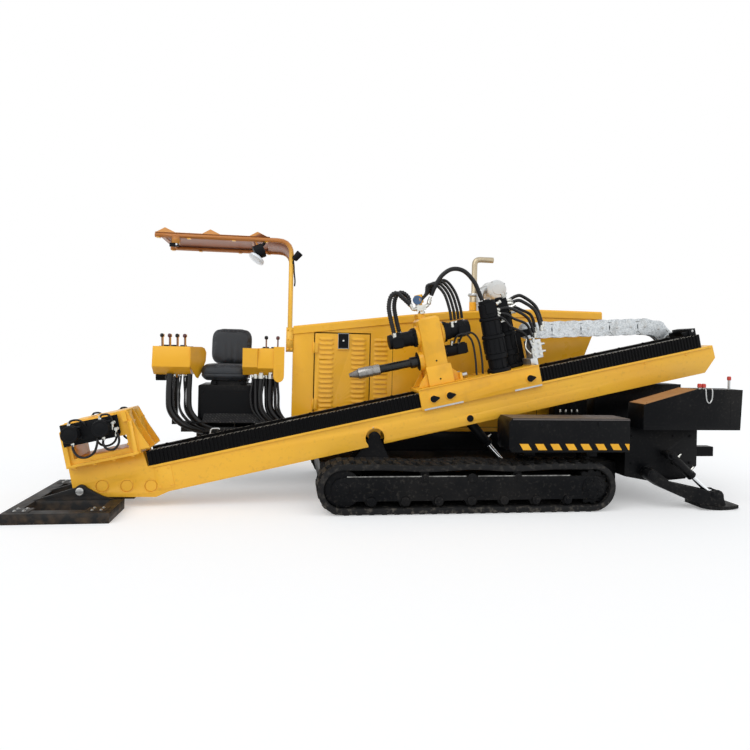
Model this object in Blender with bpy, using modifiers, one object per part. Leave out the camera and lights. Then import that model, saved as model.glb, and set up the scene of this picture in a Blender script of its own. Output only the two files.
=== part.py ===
"""Horizontal directional drill on rubber tracks, modelled in metres with +Z up.

+X points to the machine's rear and -X to the drilling front, where the anchor lies.
The mast, a long inclined beam, runs along the near side (-Y).
The engine hood and the operator's seat stand on the far side (+Y).
"""
import math

import bmesh
import bpy
from mathutils import Matrix, Vector

for old in list(bpy.data.objects):
    bpy.data.objects.remove(old, do_unlink=True)

# Clearances: a seated piece lies GAP off its seat, a pin or slide runs at RUN, the rest clears by FREE.
GAP = 0.0003
RUN = 0.0006
FREE = 0.006

# Undercarriage, measured from its own centre.
TRACK_LENGTH = 3.05
TRACK_HEIGHT = 0.50
TRACK_WIDTH = 0.40
TRACK_OVERALL = 2.20
TRACK_BELT = 0.040
LUG_HEIGHT = 0.026
SHOE_COUNT = 54
ROLLER_COUNT = 7
TOP_ROLLERS = 2
SPROCKET_TEETH = 12
BEND_STEPS = 10
CHASSIS_TOP = 0.43
CHASSIS_BOTTOM = 0.20
CHASSIS_WIDTH = TRACK_OVERALL - 2 * TRACK_WIDTH - 0.04
CHASSIS_FRONT = -1.48
CHASSIS_REAR = 1.745
PLATE = 0.030

# Mast: pivot height and place, slope at rest and the beam's section about the pivot.
MAST_PIVOT_X = -0.918
MAST_PIVOT_Z = 0.685
MAST_Y = 0.18 - CHASSIS_WIDTH / 2
MAST_ANGLE = math.radians(12.4)
BEAM_WIDTH = 0.34
BEAM_BOTTOM = -0.078
BEAM_TOP = 0.208
BEAM_WALL = 0.020
BEAM_FRONT = -2.97
BEAM_REAR = 3.945
BEAM_TIP_V = 0.063
PIVOT_RADIUS = 0.030
ARCH_RADIUS = 0.100
RACK_TOP = 0.358
RACK_WIDTH = 0.055
RACK_FRONT = -2.24
RACK_REAR = 3.80
RACK_PITCH = 0.075
TOOTH_DEPTH = 0.012
SPINDLE_V = 0.676

# Carriage and power head along the beam.
CARRIAGE_FRONT = 0.536
CARRIAGE_REAR = 1.874
CARRIAGE_TOP = 0.400
SKIRT_BOTTOM = 0.172
SKIRT_PLATE = 0.020
GEARBOX_U = 0.81
GEARBOX_LENGTH = 0.25
GEARBOX_WIDTH = 0.28
GEARBOX_TOP = 1.125
MOTOR_V = 0.935
HOSE_RADIUS = 0.028
HOSE_RISE = 0.36
HOSE_STEP = 0.17

# Drag chain on the beam's far side.
CHAIN_Y = 0.235
CHAIN_WIDTH = 0.120
CHAIN_PITCH = 0.175
CHAIN_LINKS = 9
CHAIN_START = 2.03
CHAIN_RISE = 0.74
CHAIN_TRAY_V = 0.10

# Lift cylinder between the mast's underside and the chassis.
LIFT_TOP_U = 1.03
LIFT_TOP_V = -0.012
LIFT_FOOT_X = 0.56
LIFT_FOOT_Z = 0.36
LIFT_BARREL_RADIUS = 0.052
LIFT_BARREL_LENGTH = 0.40
LIFT_ROD_RADIUS = 0.030
LIFT_EYE_HALF = 0.045
LIFT_PIN_RADIUS = 0.022
LIFT_FOOT_PIN = 0.014
LIFT_DRIFT = 0.024
LIFT_TRAVEL = 0.176

# Every cylinder: solid length at the barrel's closed end and thickness of an eye's wall.
BARREL_CAP = 0.075
EYE_WALL = 0.013

# Anchor base on the ground ahead of the mast.
ANCHOR_FRONT = -4.274
ANCHOR_LENGTH = 0.908
ANCHOR_WIDTH = 1.40
ANCHOR_CHANNEL = 0.115
ANCHOR_HEIGHT = 0.095
ANCHOR_PIN_U = -2.885
ANCHOR_PIN_V = 0.120
ANCHOR_PIN_RADIUS = 0.022

# Hood, deck and operator's place.
DECK_TOP = 0.65
DECK_NEAR = 0.06
DECK_FAR = 1.08
HOOD_NEAR = 0.10
HOOD_FAR = 1.05
HOOD_FRONT = -1.773
HOOD_REAR = 1.97
HOOD_WALL = 0.030
DOOR_X = -1.535
DOOR_WIDTH = 0.655
DOOR_BOTTOM = 0.78
DOOR_TOP = 1.785
DOOR_THICK = 0.024
DOOR_KNUCKLE = 0.013
PLATFORM_FRONT = -2.985
PLATFORM_TOP = 0.69
SEAT_X = -2.495
SEAT_NEAR = 0.14
CANOPY_TOP = 2.845
CANOPY_FRONT = -3.315
TUBE_RADIUS = 0.027

# Tool box over the near track, rear structure and stabiliser legs.
TANK_FRONT = 0.371
TANK_REAR = 1.662
TANK_BOTTOM = 0.604
TANK_TOP = 0.944
TANK_NEAR = 0.015 - TRACK_OVERALL / 2
TANK_FAR = -0.735
REAR_BOX_FRONT = 1.80
REAR_BOX_REAR = 2.92
REAR_BOX_BOTTOM = 0.835
REAR_BOX_TOP = 1.26
REAR_BOX_WIDTH = 0.29
SLOT_NEAR = 0.305
SLOT_FAR = 0.410
REAR_BODY_REAR = 2.58
LEG_Y = TRACK_OVERALL / 2 - 0.115
LEG_PIVOT = (1.95, 0.36)
LEG_PIN = (2.64, 0.155)
LEG_BARREL_PIN = (2.18, 0.56)
LEG_WIDTH = 0.14
BODY_TO_LEG = 0.055
LEG_BARREL_LENGTH = 0.345
LEG_BARREL_RADIUS = 0.046
LEG_ROD_RADIUS = 0.026
LEG_EYE_HALF = 0.035
LEG_BARREL_PIN_RADIUS = 0.030
LEG_PIN_RADIUS = 0.012
LEG_DRIFT = 0.0135
LEG_TRAVEL = 0.127
FOOT_WIDTH = 0.26

PARTS = bpy.data.collections.new("directional_drill")
CUTTERS = bpy.data.collections.new("cutters")
for group in (PARTS, CUTTERS):
    bpy.context.scene.collection.children.link(group)


def material(name, colour, roughness, metallic=0.0):
    mat = bpy.data.materials.new(name)
    mat.use_nodes = True
    shader = mat.node_tree.nodes["Principled BSDF"]
    shader.inputs["Base Color"].default_value = (*colour, 1.0)
    shader.inputs["Roughness"].default_value = roughness
    shader.inputs["Metallic"].default_value = metallic
    mat.diffuse_color = (*colour, 1.0)
    return mat


YELLOW = material("yellow_paint", (0.82, 0.42, 0.05), 0.35)
BLACK = material("black_paint", (0.012, 0.013, 0.015), 0.45)
RUBBER = material("track_rubber", (0.018, 0.018, 0.020), 0.85)
STEEL = material("bare_steel", (0.35, 0.34, 0.32), 0.40, 1.0)
CHROME = material("chrome_rod", (0.75, 0.76, 0.78), 0.12, 1.0)
CAST = material("cast_black", (0.020, 0.021, 0.023), 0.55)
VINYL = material("seat_vinyl", (0.020, 0.022, 0.026), 0.60)
ZINC = material("galvanised_chain", (0.62, 0.65, 0.67), 0.35, 0.9)
HOSE = material("hose_rubber", (0.012, 0.012, 0.013), 0.60)
LENS = material("lamp_face", (0.80, 0.82, 0.84), 0.20)


def empty(name, location, parent=None, angle=0.0):
    """A joint's own frame: turned about Y by angle, so that +X leans up for a positive angle."""
    frame = bpy.data.objects.new(name, None)
    frame.location = location
    frame.rotation_euler = (0.0, -angle, 0.0)
    frame.parent = parent
    PARTS.objects.link(frame)
    return frame


def solid(bm, name="piece"):
    mesh = bpy.data.meshes.new(name)
    bm.normal_update()
    bm.to_mesh(mesh)
    bm.free()
    return bpy.data.objects.new(name, mesh)


def box(low, high):
    bm = bmesh.new()
    bmesh.ops.create_cube(bm, size=1.0)
    size = [h - l for l, h in zip(low, high)]
    bmesh.ops.scale(bm, vec=size, verts=bm.verts)
    bmesh.ops.translate(bm, vec=[(l + h) / 2 for l, h in zip(low, high)], verts=bm.verts)
    return solid(bm)


def rod(start, end, radius, sides=16, end_radius=None):
    """A round bar or a cone from start to end."""
    start, end = Vector(start), Vector(end)
    axis = end - start
    bm = bmesh.new()
    bmesh.ops.create_cone(bm, cap_ends=True, segments=sides, radius1=radius,
                          radius2=radius if end_radius is None else end_radius, depth=axis.length)
    turn = Vector((0, 0, 1)).rotation_difference(axis).to_matrix().to_4x4()
    bmesh.ops.transform(bm, matrix=Matrix.Translation((start + end) / 2) @ turn, verts=bm.verts)
    return solid(bm)


def to_mesh(curve_object):
    """Turns a curve into a mesh with its caps welded on."""
    bpy.context.scene.collection.objects.link(curve_object)
    graph = bpy.context.evaluated_depsgraph_get()
    mesh = bpy.data.meshes.new_from_object(curve_object.evaluated_get(graph))
    bm = bmesh.new()
    bm.from_mesh(mesh)
    bmesh.ops.remove_doubles(bm, verts=bm.verts, dist=0.00005)
    bmesh.ops.recalc_face_normals(bm, faces=bm.faces)
    bmesh.ops.transform(bm, matrix=curve_object.matrix_world, verts=bm.verts)
    bpy.data.objects.remove(curve_object)
    bpy.data.meshes.remove(mesh)
    return solid(bm)


def plate(outline, y_low, y_high, holes=()):
    """A flat outline of (x, z) points with any holes, as thick as from y_low to y_high."""
    curve = bpy.data.curves.new("outline", "CURVE")
    curve.dimensions = "2D"
    curve.fill_mode = "BOTH"
    curve.extrude = (y_high - y_low) / 2
    for line in (outline, *holes):
        spline = curve.splines.new("POLY")
        spline.points.add(len(line) - 1)
        for point, (x, z) in zip(spline.points, line):
            point.co = (x, z, 0.0, 1.0)
        spline.use_cyclic_u = True
    flat = bpy.data.objects.new("outline", curve)
    flat.matrix_world = Matrix.Translation((0, (y_low + y_high) / 2, 0)) @ Matrix.Rotation(math.pi / 2, 4, "X")
    return to_mesh(flat)


def slab(outline, z_low, z_high):
    """A flat outline of (x, y) points, as thick as from z_low to z_high."""
    piece = plate(outline, -z_high, -z_low)
    piece.data.transform(Matrix.Rotation(-math.pi / 2, 4, "X"))
    return piece


def tube(points, radius, resolution=2):
    """A bent tube or hose along a list of points, with its ends closed."""
    curve = bpy.data.curves.new("tube", "CURVE")
    curve.dimensions = "3D"
    curve.bevel_depth = radius
    curve.bevel_resolution = resolution
    curve.use_fill_caps = True
    spline = curve.splines.new("POLY")
    spline.points.add(len(points) - 1)
    for point, place in zip(spline.points, points):
        point.co = (*place, 1.0)
    return to_mesh(bpy.data.objects.new("tube", curve))


def arc(centre, radius, start, end, steps):
    """Points on an arc, with its angles in degrees."""
    turns = [math.radians(start + (end - start) * i / steps) for i in range(steps + 1)]
    return [(centre[0] + radius * math.cos(t), centre[1] + radius * math.sin(t)) for t in turns]


def bend(points, radius, steps=4):
    """Rounds the inner corners of a path of 3-D points."""
    path = [Vector(points[0])]
    for before, corner, after in zip(points, points[1:], points[2:]):
        before, corner, after = Vector(before), Vector(corner), Vector(after)
        into, out = (before - corner).normalized(), (after - corner).normalized()
        reach = min(radius, (before - corner).length * 0.49, (after - corner).length * 0.49)
        first, last = corner + into * reach, corner + out * reach
        for i in range(steps + 1):
            t = i / steps
            path.append(first * (1 - t) ** 2 + corner * 2 * t * (1 - t) + last * t * t)
    path.append(Vector(points[-1]))
    return path


def node(name, mat, parent, adds, cuts=(), then=(), last=(), bevel=0.0, weld=0.00005):
    """One closed piece: the first shape, joined with the other adds, less the cuts, then more of both."""
    body = adds[0]
    body.name = body.data.name = name
    body.data.materials.append(mat)
    PARTS.objects.link(body)
    body.parent = parent
    steps = [("UNION", adds[1:]), ("DIFFERENCE", cuts), ("UNION", then), ("DIFFERENCE", last)]
    tools = [(operation, tool) for operation, shapes in steps for tool in shapes]
    for index, (operation, tool) in enumerate(tools):
        tool.name = f"{name}_tool_{index}"
        tool.hide_render = True
        tool.display_type = "WIRE"
        tool.parent = parent
        CUTTERS.objects.link(tool)
        boolean = body.modifiers.new(operation.lower(), "BOOLEAN")
        boolean.operation = operation
        boolean.solver = "EXACT"
        boolean.object = tool
    if tools and weld:
        merge = body.modifiers.new("weld", "WELD")
        merge.merge_threshold = weld
    if bevel:
        edge = body.modifiers.new("edges", "BEVEL")
        edge.width = bevel
        edge.segments = 1
        edge.limit_method = "ANGLE"
        edge.angle_limit = math.radians(50)
    return body


def track_loop(offset, steps):
    """Points of the track's stadium, offset inwards from its lug tips."""
    radius = TRACK_HEIGHT / 2 - offset
    reach = (TRACK_LENGTH - TRACK_HEIGHT) / 2
    right = arc((reach, TRACK_HEIGHT / 2), radius, -90, 90, steps)
    left = arc((-reach, TRACK_HEIGHT / 2), radius, 90, 270, steps)
    return right + left


def shoe_loop():
    """The track's outer line: a lug and a gap for each shoe, spaced evenly along the belt."""
    radius = TRACK_HEIGHT / 2
    reach = (TRACK_LENGTH - TRACK_HEIGHT) / 2
    straight, half_turn = 2 * reach, math.pi * radius
    total = 2 * (straight + half_turn)

    def at(distance, offset):
        distance = distance % total
        if distance < straight:
            return (-reach + distance, offset)
        distance -= straight
        if distance < half_turn:
            turn = -math.pi / 2 + distance / radius
            return (reach + (radius - offset) * math.cos(turn), radius + (radius - offset) * math.sin(turn))
        distance -= half_turn
        if distance < straight:
            return (reach - distance, TRACK_HEIGHT - offset)
        turn = math.pi / 2 + (distance - straight) / radius
        return (-reach + (radius - offset) * math.cos(turn), radius + (radius - offset) * math.sin(turn))

    # Share of a shoe's pitch and how far the point lies inside the lug tips.
    tooth = ((0.08, 0.0), (0.52, 0.0), (0.64, LUG_HEIGHT), (0.96, LUG_HEIGHT))
    pitch = total / SHOE_COUNT
    return [at((shoe + share) * pitch, depth) for shoe in range(SHOE_COUNT) for share, depth in tooth]


def tracks(root):
    """Both rubber tracks, each with its frame, rollers, idler and sprocket."""
    inner = TRACK_BELT + LUG_HEIGHT
    # The wheels lie against the flats of the loop's bends.
    wheel = (TRACK_HEIGHT / 2 - inner) * math.cos(math.pi / 2 / BEND_STEPS) - GAP
    reach = (TRACK_LENGTH - TRACK_HEIGHT) / 2
    axle_z = TRACK_HEIGHT / 2
    for side, sign in (("near", -1), ("far", 1)):
        def across(low, high):
            """Turns distances in from the track's outer face into an ordered pair of y."""
            ys = [sign * (TRACK_OVERALL / 2 - d) for d in (low, high)]
            return min(ys), max(ys)

        node(f"track_{side}", RUBBER, root, [plate(shoe_loop(), *across(0.0, TRACK_WIDTH), holes=[track_loop(inner, BEND_STEPS)])])

        y_out, y_in = across(0.015, 0.015 + PLATE), across(TRACK_WIDTH - 0.015 - PLATE, TRACK_WIDTH - 0.015)
        y_all = across(0.040, TRACK_WIDTH - 0.040)
        cheek = arc((reach, axle_z), 0.115, -90, 90, 5) + arc((-reach, axle_z), 0.115, 90, 270, 5)
        frame = [box((-reach + 0.22, y_all[0], 0.145), (reach - 0.22, y_all[1], 0.37))]
        frame += [plate(cheek, *y_out), plate(cheek, *y_in)]
        for i in range(ROLLER_COUNT):
            x = (i - (ROLLER_COUNT - 1) / 2) * (reach * 2 - 0.55) / (ROLLER_COUNT - 1)
            z = inner + 0.065 + GAP
            frame.append(rod((x, y_all[0] + 0.001, z), (x, y_all[1] - 0.001, z), 0.065, 8))
        for i in range(TOP_ROLLERS):
            x = (i - (TOP_ROLLERS - 1) / 2) * 0.95
            z = TRACK_HEIGHT - inner - 0.045 - GAP
            frame.append(rod((x, y_all[0] + 0.002, z), (x, y_all[1] - 0.002, z), 0.045, 8))
        hub_out = sign * (TRACK_OVERALL / 2 - 0.002)
        hub_in = sign * (TRACK_OVERALL / 2 - 0.03)
        frame.append(rod((reach, hub_out, axle_z), (reach, hub_in, axle_z), 0.095, 16))
        rim = []
        for i in range(SPROCKET_TEETH):
            for share, depth in ((0.0, 0.0), (0.35, 0.0), (0.65, 0.03)):
                turn = 2 * math.pi * (i + share) / SPROCKET_TEETH
                rim.append((reach + (wheel - depth) * math.cos(turn), axle_z + (wheel - depth) * math.sin(turn)))
        y_wheel = across(0.013 + PLATE, TRACK_WIDTH - 0.013 - PLATE)
        frame.append(plate(rim, *y_wheel))
        frame.append(rod((-reach, y_wheel[0], axle_z), (-reach, y_wheel[1], axle_z), wheel, 20))
        node(f"track_frame_{side}", BLACK, root, frame)


def chassis(root):
    """The black carbody with its axles, the mast's pivot bracket and the lift cylinder's foot."""
    half = CHASSIS_WIDTH / 2
    seat = TRACK_OVERALL / 2 - TRACK_WIDTH + 0.015 - GAP
    adds = [box((CHASSIS_FRONT, -half, CHASSIS_BOTTOM), (CHASSIS_REAR, half, CHASSIS_TOP))]
    for x in (-0.75, 0.75):
        adds.append(box((x - 0.16, -seat, 0.16), (x + 0.16, seat, 0.36)))
    for side in (-1, 1):
        y = MAST_Y + side * (BEAM_WIDTH / 2 - BEAM_WALL - FREE - 0.0125)
        x, z = MAST_PIVOT_X, MAST_PIVOT_Z
        ear = [(x - 0.26, CHASSIS_TOP - 0.05), (x + 0.20, CHASSIS_TOP - 0.05)] + arc((x, z), 0.062, -10, 190, 10)
        adds.append(plate(ear, y - 0.0125, y + 0.0125))
    reach = BEAM_WIDTH / 2 - BEAM_WALL - FREE - 0.005
    x, z = MAST_PIVOT_X, MAST_PIVOT_Z
    adds.append(rod((x, MAST_Y - reach, z), (x, MAST_Y + reach, z), PIVOT_RADIUS, 18))
    # Two stepped brackets reach out over the track to the tool box.
    over = TRACK_HEIGHT + 0.02
    for x in (TANK_FRONT + 0.25, TANK_REAR - 0.35):
        adds.append(box((x, -half, CHASSIS_TOP - 0.05), (x + 0.12, -half + 0.06, over + 0.04)))
        adds.append(box((x, TANK_FAR - 0.12, over), (x + 0.12, -half + 0.03, over + 0.035)))
        adds.append(box((x + 0.001, TANK_FAR - 0.12, over + 0.001), (x + 0.119, TANK_FAR - 0.01, TANK_BOTTOM - GAP)))
    x, z = LIFT_FOOT_X, LIFT_FOOT_Z
    pit = box((x - 0.30, MAST_Y - 0.075, z - 0.10), (x + 0.10, MAST_Y + 0.075, CHASSIS_TOP + 0.1))
    pin = rod((x, MAST_Y - 0.08, z), (x, MAST_Y + 0.08, z), LIFT_FOOT_PIN, 14)
    node("chassis", BLACK, root, adds, [pit], then=[pin])


def deck(root):
    """The black subframe that carries the hood on the far side."""
    adds = [box((HOOD_FRONT - 0.02, DECK_NEAR, TRACK_HEIGHT + 0.03), (HOOD_REAR - 0.25, DECK_FAR, DECK_TOP)),
            box((CHASSIS_FRONT + 0.05, DECK_NEAR, CHASSIS_TOP + GAP), (CHASSIS_REAR - 0.05, CHASSIS_WIDTH / 2 - 0.06, TRACK_HEIGHT + 0.05))]
    node("deck_frame", BLACK, root, adds)


def hood_line(inset=0.0):
    """The hood's side outline, or the hollow's inside it."""
    w = inset
    return [(HOOD_FRONT + w, DECK_TOP + GAP + w), (HOOD_REAR - 0.245 - w, DECK_TOP + GAP + w),
            (HOOD_REAR - 0.245 - w, 1.50), (HOOD_REAR - w * 1.1, 2.116 - w), (1.05, 2.118 - w),
            (0.067, 2.063 - w), (-0.534, 1.998 - w), (HOOD_FRONT + w, 1.84 - w)]


def roof_height(x):
    """Height of the hood's top over the place x."""
    top = sorted(hood_line()[3:])
    for (x0, z0), (x1, z1) in zip(top, top[1:]):
        if x0 <= x <= x1:
            return z0 + (z1 - z0) * (x - x0) / (x1 - x0)


def hood(root):
    """Hollow engine hood with a door on its near side and an engine block inside."""
    shell = plate(hood_line(), HOOD_NEAR, HOOD_FAR)
    hollow = plate(hood_line(HOOD_WALL), HOOD_NEAR + HOOD_WALL, HOOD_FAR - HOOD_WALL)
    doorway = box((DOOR_X, HOOD_NEAR - 0.1, DOOR_BOTTOM), (DOOR_X + DOOR_WIDTH, HOOD_NEAR + 0.1, DOOR_TOP))
    node("hood", YELLOW, root, [shell], [hollow, doorway])

    edge = FREE
    knuckle = DOOR_KNUCKLE
    hinge = empty("door_hinge", (DOOR_X, HOOD_NEAR - knuckle, 0), root)
    adds = [box((edge, knuckle, DOOR_BOTTOM + edge), (DOOR_WIDTH - edge, knuckle + DOOR_THICK, DOOR_TOP - edge))]
    for z in (DOOR_BOTTOM + 0.12, DOOR_TOP - 0.24):
        adds.append(rod((0, 0, z), (0, 0, z + 0.12), knuckle - GAP, 12))
        adds.append(box((0.002, -0.004, z + 0.002), (0.045, knuckle + 0.004, z + 0.118)))
    for column in (0.06, 0.43):
        for i in range(16):
            z = DOOR_TOP - 0.07 - i * 0.055
            slat = [(knuckle - 0.009, z - 0.012), (knuckle + 0.004, z - 0.014), (knuckle + 0.004, z + 0.014)]
            fin = plate(slat, -(column + 0.165), -column)
            fin.data.transform(Matrix.Rotation(math.pi / 2, 4, "Z"))
            adds.append(fin)
    lock = box((0.27, knuckle - 0.014, DOOR_TOP - 0.20), (0.39, knuckle + 0.004, DOOR_TOP - 0.03))
    node("hood_door", YELLOW, hinge, adds + [lock])

    node("engine", CAST, root, [box((-0.95, 0.32, DECK_TOP + HOOD_WALL + 2 * GAP), (0.35, 0.85, 1.62)),
                                box((-0.70, 0.40, 1.60), (0.15, 0.76, 1.75))])

    pipe_x, pipe_y = 0.47, 0.50
    hood_top = roof_height(pipe_x + 0.055) + GAP
    stack = [rod((pipe_x, pipe_y, hood_top), (pipe_x, pipe_y, hood_top + 0.23), 0.055, 20),
             tube(bend([(pipe_x, pipe_y, hood_top + 0.2), (pipe_x, pipe_y, 2.76), (pipe_x + 0.24, pipe_y, 2.76)], 0.07),
                  0.036, 3)]
    node("exhaust", STEEL, root, stack)
    clean_x = 0.72
    cleaner = [rod((clean_x, 0.34, 2.38), (clean_x, 0.66, 2.38), 0.115, 24),
               box((clean_x - 0.07, 0.42, roof_height(clean_x + 0.07) + GAP), (clean_x + 0.07, 0.58, 2.32))]
    node("air_cleaner", LENS, root, cleaner)


def operator_place(root):
    """Platform, seat and the two consoles that face the near side."""
    x, near = SEAT_X, SEAT_NEAR
    rear = HOOD_FRONT - 0.02 - GAP
    floor = [box((PLATFORM_FRONT, HOOD_NEAR - 0.02, PLATFORM_TOP - 0.05), (rear, 0.98, PLATFORM_TOP))]
    for y in (0.2, 0.8):
        floor.append(box((PLATFORM_FRONT + 0.15, y, 0.55), (rear, y + 0.1, PLATFORM_TOP - 0.03)))
    node("platform", BLACK, root, floor)

    base = [box((x - 0.33, near + 0.05, PLATFORM_TOP + GAP), (x + 0.31, near + 0.60, 1.155)),
            box((x - 0.20, near + 0.10, 1.13), (x + 0.20, near + 0.50, 1.205))]
    node("seat_base", BLACK, root, base, bevel=0.01)
    cushion = box((x - 0.25, near + 0.03, 1.205 + GAP), (x + 0.25, near + 0.52, 1.345))
    node("seat_cushion", VINYL, root, [cushion], bevel=0.03)
    lean = math.radians(8)
    back = box((x - 0.235, -0.05, 0), (x + 0.235, 0.05, 0.47))
    back.data.transform(Matrix.Translation((0, near + 0.60, 1.35)) @ Matrix.Rotation(-lean, 4, "X"))
    stay = box((x - 0.08, near + 0.60 + GAP, 1.08), (x + 0.08, near + 0.645, 1.44))
    node("seat_back", VINYL, root, [back, stay], bevel=0.025)

    # Side, console's low and high x, its levers' x and the direction towards the seat.
    for side, low, high, levers in (("left", -3.304, -2.90, 4), ("right", -2.165, -1.875, 2)):
        face = [(near - 0.06, 1.585), (near - 0.09, 1.36), (near + 0.02, 1.27), (near + 0.34, 1.27),
                (near + 0.36, 1.585)]
        hull = plate(face, -high, -low)
        hull.data.transform(Matrix.Rotation(math.pi / 2, 4, "Z"))
        adds = [hull]
        for i in range(levers):
            lever_x = low + 0.09 + i * (high - low - 0.16) / max(levers - 1, 1)
            adds.append(rod((lever_x, near + 0.05, 1.57), (lever_x, near + 0.03, 1.70), 0.007, 8))
            adds.append(rod((lever_x, near + 0.03, 1.69), (lever_x, near + 0.027, 1.72), 0.016, 10))
        leg_x = (low + high) / 2
        adds.append(box((leg_x - 0.03, near + 0.20, PLATFORM_TOP + GAP), (leg_x + 0.03, near + 0.26, 1.30)))
        node(f"console_{side}", YELLOW, root, adds)

    for side, foot_x, spread in (("left", -3.02, 0.20), ("right", -2.08, 0.15)):
        hoses = [box((foot_x - spread / 2, near - 0.035, 1.15), (foot_x + spread / 2, near + 0.03, 1.27 - GAP))]
        for i in range(4):
            x0 = foot_x + (i - 1.5) * spread / 4
            y0 = near - 0.01 - 0.02 * (i % 2)
            end = (x0 + 0.14, HOOD_NEAR - 0.07, 0.62 - 0.03 * (i % 2))
            hoses.append(tube(bend([(x0, y0, 1.22), (x0 + 0.02, y0 - 0.03, 0.95),
                                    (x0 + 0.06, y0 - 0.045, 0.74), end], 0.1, 1), 0.017, 1))
        hoses.append(box((foot_x - spread / 2 + 0.06, HOOD_NEAR - 0.10, 0.57),
                         (foot_x + spread / 2 + 0.16, HOOD_NEAR - 0.02 - GAP, 0.68)))
        node(f"console_hoses_{side}", HOSE, root, hoses)


def canopy(root):
    """Two bent tubes on the hood's front corners, a ridged roof sheet and its lamps."""
    reach = TUBE_RADIUS
    y_near, y_far = HOOD_NEAR + 0.03, HOOD_FAR - 0.03
    x_post = HOOD_FRONT - GAP - 0.04
    adds = []
    for y in (y_near, y_far):
        path = bend([(x_post, y, 1.60), (x_post, y, CANOPY_TOP - reach), (CANOPY_FRONT, y, CANOPY_TOP - reach)], 0.16, 5)
        adds.append(tube(path, reach, 1))
        adds.append(box((x_post - 0.04, y - 0.04, 1.55), (x_post + 0.04, y + 0.04, 1.83)))
    for x in (CANOPY_FRONT + 0.08, x_post - 0.45):
        adds.append(rod((x, y_near, CANOPY_TOP - reach), (x, y_far, CANOPY_TOP - reach), 0.015, 8))
    # A lamp on a short stem hangs at the near tube's rear, and a work lamp under its front.
    lamp_z = CANOPY_TOP - 2 * reach
    adds.append(rod((-2.23, y_near, lamp_z + 0.02), (-2.16, y_near, lamp_z - 0.11), 0.010, 8))
    adds.append(rod((-2.22, y_near - 0.02, lamp_z - 0.13), (-2.13, y_near - 0.01, lamp_z - 0.09), 0.075, 20))
    adds.append(box((-3.13, y_near - 0.03, CANOPY_TOP - 0.115), (-3.05, y_near + 0.05, CANOPY_TOP - 0.03)))
    node("canopy_frame", YELLOW, root, adds)

    low = CANOPY_TOP + GAP
    top = [(CANOPY_FRONT, low), (-2.12, low)]
    skin = []
    for middle in (-2.20, -2.72, -3.21):
        skin += [(middle + 0.11, low + 0.008), (middle, low + 0.060), (middle - 0.09, low + 0.008)]
    outline = top + [(-2.06, low + 0.008)] + skin + [(CANOPY_FRONT, low + 0.008)]
    node("canopy_roof", YELLOW, root, [plate(outline, y_near - 0.01, y_far + 0.01)])


def beam_line():
    """The mast's side outline: blunt front block, straight lower edge and raked rear end."""
    return [(BEAM_FRONT, 0.355), (BEAM_FRONT, 0.160), (-2.955, 0.085), (-2.90, 0.060), (-2.83, 0.066),
            (-2.70, 0.004), (-2.235, -0.106), (-2.10, BEAM_BOTTOM),
            (BEAM_REAR - 0.155, BEAM_BOTTOM), (BEAM_REAR, BEAM_TIP_V), (BEAM_REAR - 0.008, BEAM_TOP),
            (RACK_FRONT - 0.012, BEAM_TOP), (RACK_FRONT - 0.03, 0.355)]


def mast_beam(mast):
    """The yellow beam, an inverted channel with an arch over its pivot and discs on its front block."""
    half = BEAM_WIDTH / 2
    shell = plate(beam_line(), -half, half)
    adds = [shell]
    for side in (-1, 1):
        lip = [side * (half - 0.004), side * (half + 0.014)]
        adds.append(box((RACK_FRONT + 0.02, min(lip), BEAM_TOP - 0.022), (BEAM_REAR - 0.02, max(lip), BEAM_TOP)))
        rim = arc((0, 0), ARCH_RADIUS + 0.014, -45, 225, 10) + arc((0, 0), ARCH_RADIUS - 0.012, 225, -45, 10)
        cheek = [side * (half - 0.004), side * (half + 0.008)]
        adds.append(plate(rim, min(cheek), max(cheek)))
        boss = [side * (half - 0.004), side * (half + 0.010)]
        adds.append(rod((LIFT_TOP_U, boss[0], LIFT_TOP_V), (LIFT_TOP_U, boss[1], LIFT_TOP_V), 0.038, 14))
        sheet = [side * (half - 0.004), side * (half + 0.006)]
        adds.append(box((-2.20, min(sheet), -0.045), (-2.04, max(sheet), 0.18)))
    inside = half - BEAM_WALL
    cuts = [box((-2.0, -inside, BEAM_BOTTOM - 0.1), (BEAM_REAR + 0.1, inside, BEAM_TOP - BEAM_WALL))]
    for side in (-1, 1):
        ys = [side * (half - BEAM_WALL - 0.01), side * (half + 0.1)]
        cuts.append(rod((0, ys[0], 0), (0, ys[1], 0), ARCH_RADIUS, 18))
        cuts.append(box((-0.085, min(ys), -0.2), (0.085, max(ys), -0.03)))
        for u, v in ((-2.703, 0.111), (-2.480, 0.062), (-2.259, 0.013)):
            cuts.append(rod((u, side * (half - 0.012), v), (u, side * (half + 0.1), v), 0.062, 16))
    # Inside the beam: the block on the pivot pin, and the lift cylinder's two ears with their pin.
    under = BEAM_TOP - BEAM_WALL + 0.004
    reach = inside - FREE - 0.025 - FREE
    web = [(-0.15, under)] + arc((0, 0), 0.060, 180, 360, 8) + [(0.15, under)]
    u, v = LIFT_TOP_U, LIFT_TOP_V
    inner = [plate(web, -reach, reach)]
    for side in (-0.07, 0.07):
        ear = [(u - 0.09, under), (u - 0.045, v - 0.02), (u + 0.045, v - 0.02), (u + 0.09, under)]
        inner.append(plate(ear, side - 0.0125, side + 0.0125))
    inner.append(rod((u, -0.075, v), (u, 0.075, v), LIFT_PIN_RADIUS, 16))
    bore = rod((0, -reach - 0.02, 0), (0, reach + 0.02, 0), PIVOT_RADIUS + 1.5 * RUN, 18)
    u, v = ANCHOR_PIN_U, ANCHOR_PIN_V
    eye = rod((u, -half - 0.1, v), (u, half + 0.1, v), ANCHOR_PIN_RADIUS + 2 * RUN, 16)
    node("mast_beam", YELLOW, mast, adds, cuts, then=inner, last=[bore, eye], weld=0.0001)


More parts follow.
